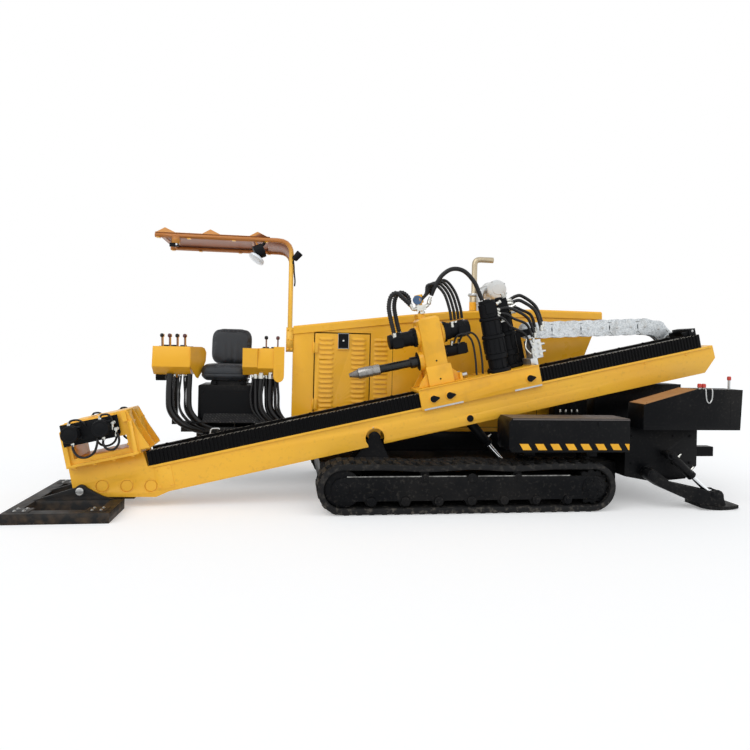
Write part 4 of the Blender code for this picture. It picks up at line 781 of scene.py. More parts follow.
def back_seams(p):
    """Slack vertical folds in the lower half of the cover, waves across whose depth fades towards the top.
    An edge seam runs round it."""
    front = p[:, 1] < 0.01
    slack = np.clip(0.75 - (p[:, 2] + 0.22) / 0.4, 0, 1)
    folds = 0.012 * slack * (1 + np.sin(p[:, 0] * 62 + 3 * p[:, 2] + 1.6 * np.sin(p[:, 0] * 19))) / 2
    edge = groove(np.minimum(0.255 - np.abs(p[:, 0]), 0.215 - np.abs(p[:, 2])), 0.007, 0.004)
    return front * (folds + edge) + groove(p[:, 1] - 0.014, 0.006, 0.004)


cushion = pillow("seat_cushion_padded", (-2.535, 0.412, 1.298), (0.3, 0.262, 0.092), 0.0, cushion_seams, 0.018,
                 (2, 1, 0.092), 5)
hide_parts("seat_cushion")
back = pillow("seat_back_padded", (-2.515, 0.785, 1.595), (0.268, 0.058, 0.25), -np.radians(8), back_seams, 0.016,
              (1, -1, 0.05), 4)
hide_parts("seat_back")
spine = joined(block((-2.575, 0.7405, 1.09), (-2.415, 0.784, 1.4)), block((-2.56, 0.78, 1.36), (-2.43, 0.835, 1.62)),
               turned((-2.6, 0.768, 1.345), (1, 0, 0), [(0.0, 0.02), (0.21, 0.02)], 14),
               block((-2.7, 0.35, 1.185), (-2.29, 0.72, 1.206)))
SIDES_X = (-2.66, -2.3)
bracket = [block((x - 0.012, 0.7, 1.215), (x + 0.012, 0.8, 1.235)) for x in SIDES_X]
bracket += [pipe_along([(x, 0.7, 1.225), (x, 0.76, 1.25), (x, 0.785, 1.34), (x, 0.8, 1.44)], 0.012) for x in SIDES_X]
piece("seat_frame", on_machine(spine, *bracket), CAST, "chassis", bevel=0.002)

# Two lever consoles of folded yellow sheet face the near side; black hose bundles drop from them below the platform.
# Each lever is a browned steel stalk in a flat rubber boot with a round grip, black and dark red by turns.


def hose_rubber(place):
    """Braided hose cover: dull black with a fine diamond weave and a little dust."""
    weave = place.node("ShaderNodeTexWave", {"bands_direction": "DIAGONAL"},
                       {"Vector": place, "Scale": 120.0, "Distortion": 1.0})
    tone = mixed(cloud(place, 12.0, 4.0), colour(7, 7, 8), colour(20, 20, 22))
    return {"Base Color": tone, "Roughness": ramp(weave, 0.0, 1.0, 0.26, 0.38), "Normal": relief(weave, 0.0004, 0.35)}


HOSE = surface("hose_rubber", hose_rubber, Specular_IOR_Level=0.32)


def gauge_face(place):
    """Printed dial under glass: pale face with a darker rim, and no words."""
    return {"Base Color": mixed(cloud(place, 20.0), colour(214, 216, 214), colour(232, 232, 228)),
            "Roughness": ramp(cloud(place, 5.0), 0.3, 0.7, 0.1, 0.18)}


DIAL = surface("dial_face", gauge_face, Coat_Weight=0.8, Coat_Roughness=0.03)
GRIP_RED = surface("dark_red_grip", lambda place: {
    "Base Color": mixed(cloud(place, 60.0), colour(66, 18, 20), colour(96, 28, 28)),
    "Roughness": ramp(cloud(place, 30.0), 0.3, 0.7, 0.22, 0.36)}, Coat_Weight=0.3)
STALK = surface("lever_steel", lambda place: {
    "Base Color": mixed(cloud(place, 40.0), colour(112, 84, 74), colour(160, 124, 110)),
    "Roughness": ramp(cloud(place, 30.0), 0.3, 0.7, 0.28, 0.45)}, Metallic=0.5)


def console_paint(place):
    """The hood's yellow on the console heads; their legs below are black."""
    slow = cloud(place, 1.5, 4.0)
    head = ramp(part_of(place, 2), 1.225, 1.235)
    return {"Base Color": mixed(head, colour(14, 15, 17), mixed(slow, colour(238, 172, 34), colour(248, 188, 46))),
            "Roughness": ramp(slow, 0.3, 0.7, 0.32, 0.46), "Normal": relief(cloud(place, 300.0), 0.0002, 0.3)}


dress(surface("console_paint", console_paint, Specular_IOR_Level=0.35), "console_left", "console_right")
DECK_Z, CHEEK_THICK = 1.588, 0.006
for side, low, high, levers in (("left", -3.304, -2.9, 4), ("right", -2.165, -1.875, 2)):
    boots, stalks, grips, reds, dials, plates = [], [], [], [], [], []
    lean = unit((0.0, -0.02, 0.13))
    ball = [(0.116, 0.008), (0.12, 0.0175), (0.13, 0.0205), (0.143, 0.0205), (0.153, 0.0165), (0.158, 0.008)]
    for number in range(levers):
        x = low + 0.09 + number * (high - low - 0.16) / (levers - 1)
        boots.append(turned((x, 0.1285, 1.584), lean, [(0.0, 0.016), (0.003, 0.016), (0.004, 0.012)], 16))
        stalks.append(turned((x, 0.13, 1.57), lean, [(0.0, 0.0085), (0.125, 0.0085)], 12))
        (reds if number % 2 else grips).append(turned((x, 0.13, 1.57), lean, ball, 18))
    plates.append(block((low + 0.03, 0.265, DECK_Z - 0.0035), (high - 0.03, 0.475, DECK_Z + 0.0005)))
    for x in np.arange(low + 0.075, high - 0.05, 0.1):
        boots.append(turned((x, 0.4, DECK_Z), UP, [(0.0, 0.038), (0.012, 0.038), (0.014, 0.034)], 28))
        dials.append(turned((x, 0.4, DECK_Z + 0.0135), UP, [(0.0, 0.033), (0.0012, 0.033)], 28))
        boots.append(turned((x, 0.31, DECK_Z), UP, [(0.0, 0.012), (0.008, 0.011), (0.014, 0.006)], 14))
    screws = copies(fastener(0.005, 0.004, (0, -0.63, -0.77)),
                    [(x, 0.105, 1.3149) for x in (low + 0.03, (low + high) / 2, high - 0.03)])
    # A cheek of sheet steel closes the console's end. The left one flares outward towards its back and tapers below;
    # the right one is a rounded shield that slants towards the operator, with a flat wing beside it.
    if side == "left":
        plates.append(sheet_cut([(0.165, 1.272), (0.17, 1.225), (0.19, 1.2), (0.25, 1.198), (0.29, 1.235), (0.3, 1.272)],
                                -3.285, -3.185, axis=0))
        rim = np.array([(0.045, 1.585), (0.3, 1.585), (0.36, 1.57), (0.395, 1.52), (0.385, 1.42), (0.31, 1.3),
                        (0.24, 1.225), (0.2, 1.24), (0.06, 1.36)])
        flare = -2.9 + 0.125 * np.clip((rim[:, 0] - 0.05) / 0.345, 0, 1) ** 1.2
        faces_of_sheet = [np.stack([flare + d, rim[:, 0], rim[:, 1]], -1) for d in (0.0, CHEEK_THICK)]
        wing = []
    else:
        turn = np.radians(np.arange(-180, 1, 15))
        rim = np.vstack([np.stack([-1.927 + 0.06 * np.cos(turn), 1.275 + 0.07 * np.sin(turn)], -1),
                         [(-1.867, 1.605), (-1.987, 1.605)]])
        slant = 0.046 - 0.3 * (rim[:, 0] + 1.987)
        faces_of_sheet = [np.stack([rim[:, 0], slant + d, rim[:, 1]], -1) for d in (0.0, CHEEK_THICK)]
        wing = [sheet_cut([(0.052, 1.583), (0.048, 1.37), (0.15, 1.28), (0.165, 1.28), (0.165, 1.583)],
                          -2.33, -2.166, axis=0)]
    cheek_parts = [net(np.stack(faces_of_sheet), caps=True), *wing]
    piece(f"console_boots_{side}", on_machine(*boots), HOSE, "chassis", sharp=50)
    piece(f"console_stalks_{side}", on_machine(*stalks), STALK, "chassis", sharp=50)
    piece(f"console_grips_{side}", on_machine(*grips), HOSE, "chassis", sharp=60)
    piece(f"console_red_grips_{side}", on_machine(*reds), GRIP_RED, "chassis", sharp=60)
    piece(f"console_dials_{side}", on_machine(*dials), DIAL, "chassis")
    piece(f"console_panel_{side}", on_machine(*plates), CAST, "chassis", bevel=0.001)
    piece(f"console_cheek_{side}", on_machine(*cheek_parts, screws), YELLOW, "chassis", bevel=0.0015)

SHINE = surface("plated_fitting", lambda place: {
    "Base Color": mixed(cloud(place, 40.0, 3.0), colour(176, 176, 170), colour(220, 220, 214)),
    "Roughness": ramp(cloud(place, 30.0), 0.3, 0.7, 0.18, 0.36)}, Metallic=1.0)
piece("door_lock_trim", on_machine(*keyhole), SHINE, "door")


def fitting(start, along, size):
    """A plated hose end: a crimped sleeve, then a hexagon nut."""
    sleeve = turned(start, along,
                    [(0.0, size * 1.02), (0.002, size * 1.18), (size * 2.2, size * 1.18), (size * 2.3, size * 0.9)], 14)
    nut = turned(np.asarray(start) + unit(along) * size * 2.2, along,
                 [(0.0, size * 1.25), (0.001, size * 1.35), (size * 1.1, size * 1.35), (size * 1.2, size)], 6)
    return joined(sleeve, nut)


# The hoses of each console: its foot's place, how far they swing rearward, and each hose's offset across and back,
# its radius and its bow. The thickest two of the left console are sleeves round several hoses.
HOSES = {"left": (-3.02, 0.13, ((-0.105, 0.0, 0.036, 0.0), (0.105, 0.02, 0.03, 0.0), (-0.05, -0.02, 0.011, 0.02),
                                (-0.015, 0.03, 0.01, -0.05), (0.015, -0.01, 0.01, 0.03), (0.045, 0.03, 0.01, -0.04),
                                (0.065, 0.04, 0.01, 0.02))),
         "right": (-2.04, 0.14, ((-0.15, 0.02, 0.024, -0.02), (-0.085, 0.0, 0.028, 0.02), (-0.03, 0.03, 0.022, -0.02),
                                 (0.02, -0.01, 0.026, 0.02), (0.07, 0.02, 0.018, -0.02), (0.1, 0.0, 0.015, -0.04),
                                 (-0.055, -0.03, 0.012, 0.05), (0.045, 0.05, 0.013, 0.03), (-0.12, 0.03, 0.012, 0.0),
                                 (0.0, 0.04, 0.016, 0.04), (0.085, -0.02, 0.011, 0.03), (-0.18, -0.01, 0.012, 0.05)))}
for side, (foot, turn, routes) in HOSES.items():
    hoses, ends = [], []
    for across, back, size, bow in routes:
        x, y = foot + across, 0.145 + back
        hoses.append(pipe_along([(x, y, 1.275), (x, y - 0.012, 1.2), (x - bow * 0.35, y - 0.03, 1.05),
                                 (x - bow * 0.2 + turn * 0.1, y - 0.05, 0.9), (x + turn * 0.55, y - 0.065, 0.8),
                                 (x + turn * 1.25, y - 0.075, 0.725), (x + turn * 2.1, y - 0.06, 0.675),
                                 (x + turn * 2.9, y - 0.02, 0.64)], size, 14 if size > 0.02 else 10))
        if size < 0.03:
            ends.append(fitting((x, y - 0.003, 1.235), (0, 0.1, 1), size))
    clamp = block((foot + 0.04, 0.05, 0.735), (foot + 0.26, 0.175, 0.753))
    bundle = piece(f"hose_bundle_{side}", on_machine(*hoses), HOSE, "chassis", sharp=80)
    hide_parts(f"console_hoses_{side}")
    piece(f"hose_ends_{side}", on_machine(*ends), SHINE, "chassis", sharp=30)
    piece(f"hose_clamp_{side}", on_machine(clamp), CAST, "chassis", bevel=0.003)

# Canopy: two bent yellow tubes carry a pressed roof sheet with three cross ridges; the tubes' upper parts and the sheet
# are painted orange-brown as painted shade.
# A curved sheet closes the bend at the back, and three lamps in black shells hang from the near tube.


def canopy_paint_with_painted_light_and_shade(place):
    """Yellow post paint, painted a little paler as painted light, that turns to an orange-brown painted shade on the
    tubes beside the roof sheet.
    """
    # Painted light and shade by height: below 2.6 m the post gets a paler yellow, and above 2.8 m the tubes get a
    # shaded orange-brown.
    height = ramp(part_of(place, 2), 2.6, 2.8)
    slow = cloud(place, 1.5, 4.0)
    post = mixed(slow, colour(240, 178, 52), colour(250, 198, 84))
    return {"Base Color": mixed(height, post, mixed(slow, colour(176, 108, 52), colour(202, 132, 66))),
            "Roughness": ramp(slow, 0.3, 0.7, 0.3, 0.45), "Normal": relief(cloud(place, 300.0), 0.0002, 0.3)}


POST = surface("canopy_paint_painted_light_and_shade", canopy_paint_with_painted_light_and_shade, Specular_IOR_Level=0.35)
dress(POST, "canopy_frame", soft=False)


def roof_paint_with_painted_shade(place):
    """Yellow painted orange-brown all over as painted shade, and a darker brown painted shade where the sheet faces
    down.
    """
    facing = part_of(place.node("ShaderNodeNewGeometry", out=1), 2)
    slow = cloud(place, 2.0, 4.0)
    # Painted shade: faces that turn down are mixed towards a darker brown.
    below = ramp(facing, -0.05, -0.3)
    browned = mixed(slow, colour(196, 126, 60), colour(222, 156, 74))
    underside_shade = mixed(slow, colour(146, 88, 56), colour(176, 112, 74))
    return {"Base Color": mixed(below, browned, underside_shade), "Roughness": ramp(slow, 0.3, 0.7, 0.34, 0.55),
            "Normal": relief(cloud(place, 240.0), 0.0003, 0.4)}


ROOF = surface("roof_sheet_painted_shade", roof_paint_with_painted_shade, Specular_IOR_Level=0.5)
dress(ROOF, "canopy_roof")
LENS = surface("lamp_lens", lambda place: {
    "Base Color": mixed(cloud(place, 60.0), colour(210, 218, 226), colour(240, 243, 246)),
    "Roughness": ramp(cloud(place, 90.0), 0.3, 0.7, 0.05, 0.14),
    "Normal": relief(place.node("ShaderNodeTexVoronoi", (), {"Vector": place, "Scale": 160.0}), 0.0012, 0.6)},
    Coat_Weight=1.0, Coat_Roughness=0.02)
# A round lamp with a clear lens hangs below the near tube on a stalk, turned down and away.
NEAR_TUBE = 0.13
lens_axis = unit((-0.55, -0.25, -0.8))
hang = (-2.17, 0.105, 2.64)
lamp_parts = [pipe_along([(-2.11, NEAR_TUBE, 2.805), (-2.13, NEAR_TUBE - 0.012, 2.765), (-2.165, 0.11, 2.72), hang], 0.016),
              turned((-2.222, 0.11, 2.659), unit((0.09, 0.01, 0.04)),
                     [(-0.006, 0.06), (-0.004, 0.0785), (0.103, 0.0785), (0.106, 0.06)], 30),
              turned(hang, lens_axis, [(-0.02, 0.018), (0.0, 0.03), (0.008, 0.034)])]
lens_parts = [turned(hang, lens_axis, [(0.03, 0.06), (0.045, 0.092), (0.06, 0.098), (0.072, 0.096), (0.078, 0.085),
                                       (0.08, 0.03)], 36)]
# A black work lamp near the roof's front edge, and a small black lamp on a stalk outside the bend.
lamp_parts += [block((-3.125, 0.105, 2.7), (-3.065, 0.16, 2.785)), block((-3.115, 0.115, 2.785), (-3.095, 0.145, 2.835)),
               block((-3.155, 0.1, 2.69), (-3.09, 0.118, 2.735))]
lens_parts.append(block((-3.119, 0.101, 2.708), (-3.071, 0.1055, 2.778)))
tail_axis = unit((0.55, -0.1, 0.65))
lamp_parts.append(pipe_along([(-1.8, 0.11, 2.56), (-1.788, 0.1, 2.59), (-1.772, 0.095, 2.612)], 0.007, 8))
lamp_parts.append(turned((-1.785, 0.095, 2.6), tail_axis, [(0.0, 0.02), (0.008, 0.034), (0.1, 0.04), (0.108, 0.036)], 20))
wire = pipe_along([(-1.772, 0.112, 2.3), (-1.768, 0.108, 2.36), (-1.778, 0.106, 2.45), (-1.783, 0.106, 2.53),
                   (-1.79, 0.104, 2.585)], 0.0085, 8)
piece("lamp_bodies", on_machine(*lamp_parts, wire), CAST, "chassis", bevel=0.0015)
piece("lamp_lenses", on_machine(*lens_parts), LENS, "chassis", sharp=50)
# The sheet at the back is flat, then a quarter round about the tubes' bend, then flat again.
curl = np.radians(np.arange(0, 91, 15))
BEND_X, BEND_Z, BEND_RADIUS = -1.973, 2.672, 0.15
bend_line = np.vstack([[(-2.1, BEND_Z + BEND_RADIUS)],
                       np.stack([BEND_X + BEND_RADIUS * np.sin(curl), BEND_Z + BEND_RADIUS * np.cos(curl)], -1),
                       [(BEND_X + BEND_RADIUS, 2.56)]])
curtain = net(np.stack([np.insert(bend_line, 1, y, axis=1) for y in (0.15, 1.0)]), across=False)
back_sheet = piece("roof_back_sheet", on_machine(curtain), ROOF, "chassis", sharp=60)
back_sheet.modifiers.new("sheet", "SOLIDIFY").thickness = 0.004
post_bolts = [copies(fastener(0.009, 0.008, (0, out, 0)), [(x, y, z) for x in (-1.835, -1.792) for z in (1.58, 1.69, 1.8)])
              for y, out in ((0.09, -1), (1.06, 1))]
clips = [block((x - 0.02, y - 0.034, 2.786), (x + 0.02, y + 0.034, 2.792))
         for x in (-2.1, -2.46, -2.95, -3.28) for y in (NEAR_TUBE, 1.02)]
roof_screws = copies(fastener(0.007, 0.006, UP),
                     [(x, y, 2.8533) for x in (-2.085, -2.42, -2.95) for y in (0.15, 0.58, 1.0)])
piece("canopy_bolts", on_machine(*post_bolts, *clips, roof_screws), YELLOW, "chassis", bevel=0.001)

# Mast beam: a long channel of folded and welded plate in slightly browner yellow, with an arch cut for the tilt pivot.
# Its side is bare: welded discs, plugged pins and bolts are all that stands on it.
SLOPE, MAST_SIDE = np.radians(12.4), 0.17
MAST_AXES = np.array([[np.cos(SLOPE), 0, np.sin(SLOPE)], [0, 1, 0], [-np.sin(SLOPE), 0, np.cos(SLOPE)]])
MAST_PIVOT = np.array([-0.2417, -0.4575, 0.685])


def on_mast(*parts):
    """Moves parts from the mast's frame (along it, across it, square to it, from its pivot) to their place."""
    return [(points @ MAST_AXES + MAST_PIVOT, faces) for points, faces in parts]


def side_block(sign, low, high):
    """A block on one side of the mast's middle plane: y is measured outward, and sign is -1 on the near side."""
    near, far = sorted((sign * low[1], sign * high[1]))
    return block((low[0], near, low[2]), (high[0], far, high[2]))


def mast_paint(place):
    """Warm yellow, a little browner than the hood, with long faint roller streaks.
    Soil is splashed about, and a faint darker film lies in broad patches."""
    along = cloud(place, 1.6, 4.0, (0.6, 1.0, 2.2))
    tone = mixed(along, colour(240, 176, 48), colour(250, 194, 60))
    splash = ramp(cloud(place, 26.0, 6.0), 0.58, 0.74) * 0.3
    film = ramp(cloud(place, 3.2, 5.0), 0.45, 0.75) * 0.25
    soiled = mixed(film, tone, colour(230, 168, 64))
    return {"Base Color": mixed(splash * 0.6, soiled, colour(160, 112, 56)),
            "Roughness": ramp(cloud(place, 4.0, 4.0), 0.3, 0.7, 0.3, 0.46),
            "Normal": relief(cloud(place, 300.0, 2.0), 0.0002, 0.35)}


MAST_YELLOW = surface("mast_yellow_enamel", mast_paint, Specular_IOR_Level=0.35, Coat_Weight=0.12, Coat_Roughness=0.16)
dress(MAST_YELLOW, "mast_beam")


def ring_bead(u, v, sign, radius, thick):
    """A weld bead round a hole in the mast's side: a torus of the radius, thick across, sunk by half."""
    turn = np.linspace(0, 2 * np.pi, 40, endpoint=False)[:, None]
    across = np.linspace(0, 2 * np.pi, 7, endpoint=False)[None]
    reach = radius + thick * np.cos(across)
    out = sign * (MAST_SIDE + thick * 0.7 * np.sin(across))
    return net(np.stack([u + reach * np.cos(turn), out + 0 * turn, v + reach * np.sin(turn)], -1), around=True)


discs = []
for u, v in ((-2.703, 0.111), (-2.48, 0.062), (-2.259, 0.013)):
    for sign in (-1, 1):
        discs.append(turned((u, sign * 0.1575, v), (0, sign, 0), [(0.0, 0.055), (0.008, 0.055), (0.01, 0.052)], 36))
        discs.append(ring_bead(u, v, sign, 0.064, 0.0045))
piece("mast_discs", on_mast(*discs), MAST_YELLOW, "mast", sharp=30)
trim, plugs = [], []
for sign in (-1, 1):
    out = (0, sign, 0)
    trim.append(copies(fastener(0.009, 0.008, out),
                       [(u, sign * 0.176, v) for u in (-2.175, -2.065) for v in (-0.02, 0.155)]))
    trim.append(copies(fastener(0.01, 0.009, out),
                       [(u, sign * MAST_SIDE, 0.165) for u in (-1.8, -1.25, 1.62, 2.35, 3.1, 3.6)]))
    plugs.append(turned((1.03, sign * 0.179, -0.012), out,
                        [(0.0, 0.036), (0.006, 0.036), (0.008, 0.032), (0.008, 0.014), (0.014, 0.012)]))
    # The long seam below the top plate: a small bead whose size ripples along the way.
    weld = np.linspace(-1.9, 3.9, 140)[:, None]
    bead = np.array([(0.0, 0.0), (0.004, 0.0015), (0.0015, 0.004), (-0.002, 0.001)])[None]
    ripple = 1 + 0.18 * np.sin(weld * 420)
    trim.append(net(np.stack([weld + 0 * bead[:, :, 0], sign * (MAST_SIDE + bead[:, :, 0] * ripple),
                              0.186 - bead[:, :, 1] * ripple], -1), caps=True))
piece("mast_bolts_and_welds", on_mast(*trim), MAST_YELLOW, "mast", sharp=40)
grease = [turned((0.0, sign * 0.178, 0.112), (0, sign, 0),
                 [(0.0, 0.006), (0.008, 0.006), (0.01, 0.003), (0.016, 0.004), (0.018, 0.002)], 10) for sign in (-1, 1)]
piece("grease_nipples", on_mast(*grease), STEEL, "mast")
piece("pin_plugs", on_mast(*plugs), CAST, "mast", sharp=30)

# Racks: two black toothed bars bolted on top of the beam, one on each side, whose teeth point outward for the feed pinions.
# The flame-cut teeth are rubbed bright at their upper ends.


def rack_iron(place):
    """Oiled black steel, greasy and slightly glossy, rubbed brighter where the pinions run."""
    grease = cloud(place, 14.0, 5.0)
    tone = mixed(grease, colour(5, 5, 6), colour(19, 19, 20))
    return {"Base Color": tone, "Roughness": ramp(grease, 0.3, 0.7, 0.3, 0.58), "Metallic": ramp(grease, 0.5, 0.9, 0.0, 0.3),
            "Normal": relief(cloud(place, 150.0, 4.0), 0.0006, 0.4)}


RACK = surface("oiled_rack_steel", rack_iron, Specular_IOR_Level=0.08)
TOOTH_PITCH, RACK_TOP = 0.0375, 0.3575
teeth = [(u, 0, 0) for u in np.arange(-2.22, 3.76, TOOTH_PITCH)]
rack_parts, tips = [], []
for sign in (-1, 1):
    rack_parts.append(side_block(sign, (-2.24, 0.115, 0.2083), (3.8, 0.17, RACK_TOP)))
    flank = np.array([(0.004, 0.169), (0.012, 0.1815), (0.0215, 0.1815), (0.0295, 0.169)]) * (1, sign)
    rack_parts.append(copies(sheet_cut(flank, 0.222, 0.352, axis=2), teeth))
    tips.append(copies(sheet_cut(flank + (0, -sign * 0.001), 0.3521, 0.3545, axis=2), teeth))
    # Bright steel dashes on the bar's outer edge are a painted highlight.
    edge = side_block(sign, (0.0, 0.15, RACK_TOP), (0.055, 0.1695, RACK_TOP + 0.0013))
    tips.append(copies(edge, [(u, 0, 0) for u in np.arange(-2.2, 3.72, 2 * TOOTH_PITCH)]))
    rack_parts.append(copies(fastener(0.012, 0.008, UP), [(u, sign * 0.132, RACK_TOP) for u in np.arange(-2.1, 3.75, 0.3)]))
RUBBED = surface("rubbed_steel", lambda place: {
    "Base Color": mixed(cloud(place, 26.0, 4.0), colour(112, 108, 100), colour(176, 170, 158)),
    "Roughness": ramp(cloud(place, 50.0), 0.3, 0.7, 0.25, 0.45)}, Metallic=0.8)
rack = piece("rack_bars", on_mast(*rack_parts), RACK, "mast", sharp=30)
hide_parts("rack_near", "rack_far")
# The tooth tips are worn bare steel, and the dashes along the outer edge are a painted highlight.
piece("rack_worn_tips_and_painted_highlight", on_mast(*tips), RUBBED, "mast")
dress(BLACK, "rear_stop")
stop_bolts = [copies(fastener(0.01, 0.01, NEARWARD), [(3.74, -0.15, 0.41)]),
              copies(fastener(0.01, 0.01, (1, 0, 0)), [(3.78, y, 0.405) for y in (-0.12, 0.12)])]
piece("rear_stop_bolts", on_mast(*stop_bolts), STEEL, "mast")

# Clamps at the mast's front: a welded yellow housing round the rod's path, with pairs of black cylinders on bolted plates.
# Ribbed black caps, plated hose fittings and short looping hoses stand on the sides.
# CLAMPS are the places of the two clamps along the mast, and ROD_V is the height of the drill rods' line over the pivot.
CLAMPS, ROD_V, HOSE_OUT = (-2.825, -2.545), 0.676, 0.338
dress(MAST_YELLOW, "vise_housing")
dress(CAST, "vise_cylinders_near", "vise_cylinders_far")
vise_parts, vise_bolts, vise_plates, vise_caps, vise_hoses, vise_ends = [], [], [], [], [], []
for sign in (-1, 1):
    out = (0, sign, 0)
    vise_bolts.append(copies(fastener(0.017, 0.016, (0, 0, -1)),
                             [(u, sign * 0.252, 0.354) for u in (-2.88, -2.7, -2.52, -2.34)]))
    vise_bolts.append(copies(fastener(0.01, 0.01, out), [(-2.365, sign * 0.236, v) for v in (0.42, 0.47)]))
    plate = [(-2.935, 0.562), (-2.425, 0.562), (-2.405, 0.6), (-2.405, 0.772), (-2.935, 0.772)]
    vise_plates.append(sheet_cut(plate, sign * 0.2645, sign * 0.2705))
    for u in CLAMPS:
        vise_caps.append(turned((u, sign * 0.29, ROD_V), out,
                                [(0.0, 0.0795), (0.056, 0.0795), (0.058, 0.084), (0.07, 0.084), (0.072, 0.0795),
                                 (0.098, 0.0795), (0.104, 0.0765), (0.105, 0.06), (0.1035, 0.058), (0.1035, 0.02)], 40))
        for lift in (-1, 1):
            vise_ends.append(turned((u, sign * HOSE_OUT, ROD_V + lift * 0.076), (0, 0, lift), [
                (0.0, 0.013), (0.01, 0.013), (0.011, 0.017), (0.024, 0.017), (0.025, 0.011), (0.04, 0.011)], 12))
    # Two plated elbows feed the rear clamp.
    for u, v in ((-2.445, 0.705), (-2.425, 0.64)):
        vise_ends.append(turned((u, sign * 0.27, v), out, [(0.0, 0.016), (0.018, 0.016), (0.02, 0.012), (0.045, 0.012),
                                                            (0.046, 0.017), (0.062, 0.017)], 12))
        vise_ends.append(turned((u, sign * 0.318, v + 0.016), (-0.2, 0, -1),
                                [(0.0, 0.014), (0.055, 0.014), (0.058, 0.01), (0.085, 0.01)], 12))
    # Each cylinder's hoses (along, outward, up): one hangs in a loop below it, and one bows over its top.
    for radius, route in (
            (0.0115, ((-2.825, HOSE_OUT, 0.58), (-2.832, 0.34, 0.53), (-2.8, 0.345, 0.462), (-2.735, 0.345, 0.436),
                      (-2.66, 0.34, 0.462), (-2.62, 0.33, 0.53), (-2.61, 0.305, 0.59))),
            (0.0115, ((-2.545, HOSE_OUT, 0.58), (-2.56, 0.34, 0.53), (-2.535, 0.345, 0.475), (-2.475, 0.345, 0.458),
                      (-2.425, 0.34, 0.5), (-2.415, 0.325, 0.56), (-2.43, 0.32, 0.61))),
            (0.01, ((-2.825, HOSE_OUT, 0.775), (-2.8, HOSE_OUT, 0.8), (-2.74, 0.32, 0.792), (-2.7, 0.3, 0.745),
                      (-2.69, 0.276, 0.7))),
            (0.01, ((-2.545, HOSE_OUT, 0.775), (-2.52, HOSE_OUT, 0.798), (-2.47, 0.325, 0.79), (-2.45, 0.318, 0.75),
                      (-2.447, 0.318, 0.728)))):
        vise_hoses.append(pipe_along(np.array(route) * (1, sign, 1), radius))
# Three tall ribs stiffen the rear wall: each widens from the top to the foot.
for y in (-0.224, 0.0, 0.224):
    vise_parts.append(sheet_cut([(-2.29, 0.385), (-2.185, 0.385), (-2.185, 0.41), (-2.262, 0.6), (-2.318, 0.782),
                                 (-2.335, 0.782)], y - 0.009, y + 0.009))
vise_parts.append(block((-2.29, -0.233, 0.383), (-2.18, 0.233, 0.392)))
vise_parts += [side_block(sign, (-2.372, 0.234, 0.69), (-2.33, 0.262, 0.782)) for sign in (-1, 1)]
piece("vise_ribs", on_mast(*vise_parts, *vise_bolts), MAST_YELLOW, "mast", bevel=0.0015)
piece("vise_plates", on_mast(*vise_plates), CAST, "mast", bevel=0.001)
piece("vise_caps", on_mast(*vise_caps), CAST, "mast", sharp=30)
piece("vise_fittings", on_mast(*vise_ends), SHINE, "mast", sharp=30)
piece("vise_hoses", on_mast(*vise_hoses), HOSE, "mast", sharp=80)
# Inside the passage stand the clamps' hardened jaws, with bars across them that bite on the rod.
jaws = []
for u in CLAMPS:
    for sign in (-1, 1):
        jaws.append(side_block(sign, (u - 0.055, 0.07, ROD_V - 0.05), (u + 0.055, 0.1, ROD_V + 0.05)))
        jaws += [block((u - 0.055, sign * 0.07 - 0.003, v), (u + 0.055, sign * 0.07 + 0.003, v + 0.008))
                 for v in np.arange(0.632, 0.722, 0.018)]
piece("vise_jaws", on_mast(*jaws), RUBBED, "mast")

# Carriage: a yellow welded saddle whose skirts hang over the racks, with bare steel wear strips along their feet.
# Black teardrop covers are pressed over its pins.


def greasy_yellow(place):
    """The hood's paint with stronger brown smears of grease."""
    smear = ramp(cloud(place, 6.0, 6.0), 0.5, 0.78) * 0.28
    tone = mixed(cloud(place, 1.2), colour(234, 168, 36), colour(246, 186, 46))
    return {**yellow_paint(place), "Base Color": mixed(smear, tone, colour(150, 104, 50))}


CARRIAGE_YELLOW = surface("carriage_yellow_enamel", greasy_yellow,
                          Specular_IOR_Level=0.35, Coat_Weight=0.15, Coat_Roughness=0.16)
DECK_V, SKIRT_SIDE, PIN_V = 0.402, 0.2075, 0.275
dress(CARRIAGE_YELLOW, "carriage")
covers, strips, saddle_bolts = [], [], []
for sign in (-1, 1):
    for u in (0.676, 0.852, 1.747):
        turn = np.linspace(np.radians(55), np.radians(305), 20)
        drop = np.vstack([np.stack([u + 0.036 * np.cos(turn), PIN_V + 0.036 * np.sin(turn)], -1),
                          [(u + 0.062, PIN_V - 0.007), (u + 0.066, PIN_V), (u + 0.062, PIN_V + 0.007)]])
        covers.append(sheet_cut(drop, sign * 0.2225, sign * 0.2285))
        covers.append(turned((u, sign * 0.228, PIN_V), (0, sign, 0),
                             [(0.0, 0.018), (0.004, 0.018), (0.005, 0.014), (0.001, 0.012)], 20))
    for low, high in ((0.56, 0.985), (1.56, 1.868)):
        strips.append(side_block(sign, (low, SKIRT_SIDE, 0.1725), (high, SKIRT_SIDE + 0.006, 0.19)))
    saddle_bolts.append(copies(fastener(0.01, 0.01, UP),
                               [(u, sign * 0.18, 0.4) for u in (0.98, 1.12, 1.26, 1.34, 1.58, 1.8)]))
lip = [sheet_cut([(0.536, 0.39), (1.874, 0.39), (1.874, DECK_V), (0.536, DECK_V)], sign * 0.206, sign * 0.218)
       for sign in (-1, 1)]
ends = [side_block(sign, (1.3, SKIRT_SIDE, 0.2), (1.304, SKIRT_SIDE + 0.002, 0.392)) for sign in (-1, 1)]
piece("pin_covers", on_mast(*covers), CAST, "carriage", sharp=30)
piece("wear_strips", on_mast(*strips), STEEL, "carriage", bevel=0.001)
piece("saddle_lips", on_mast(*lip, *ends, *saddle_bolts), CARRIAGE_YELLOW, "carriage", bevel=0.0015)
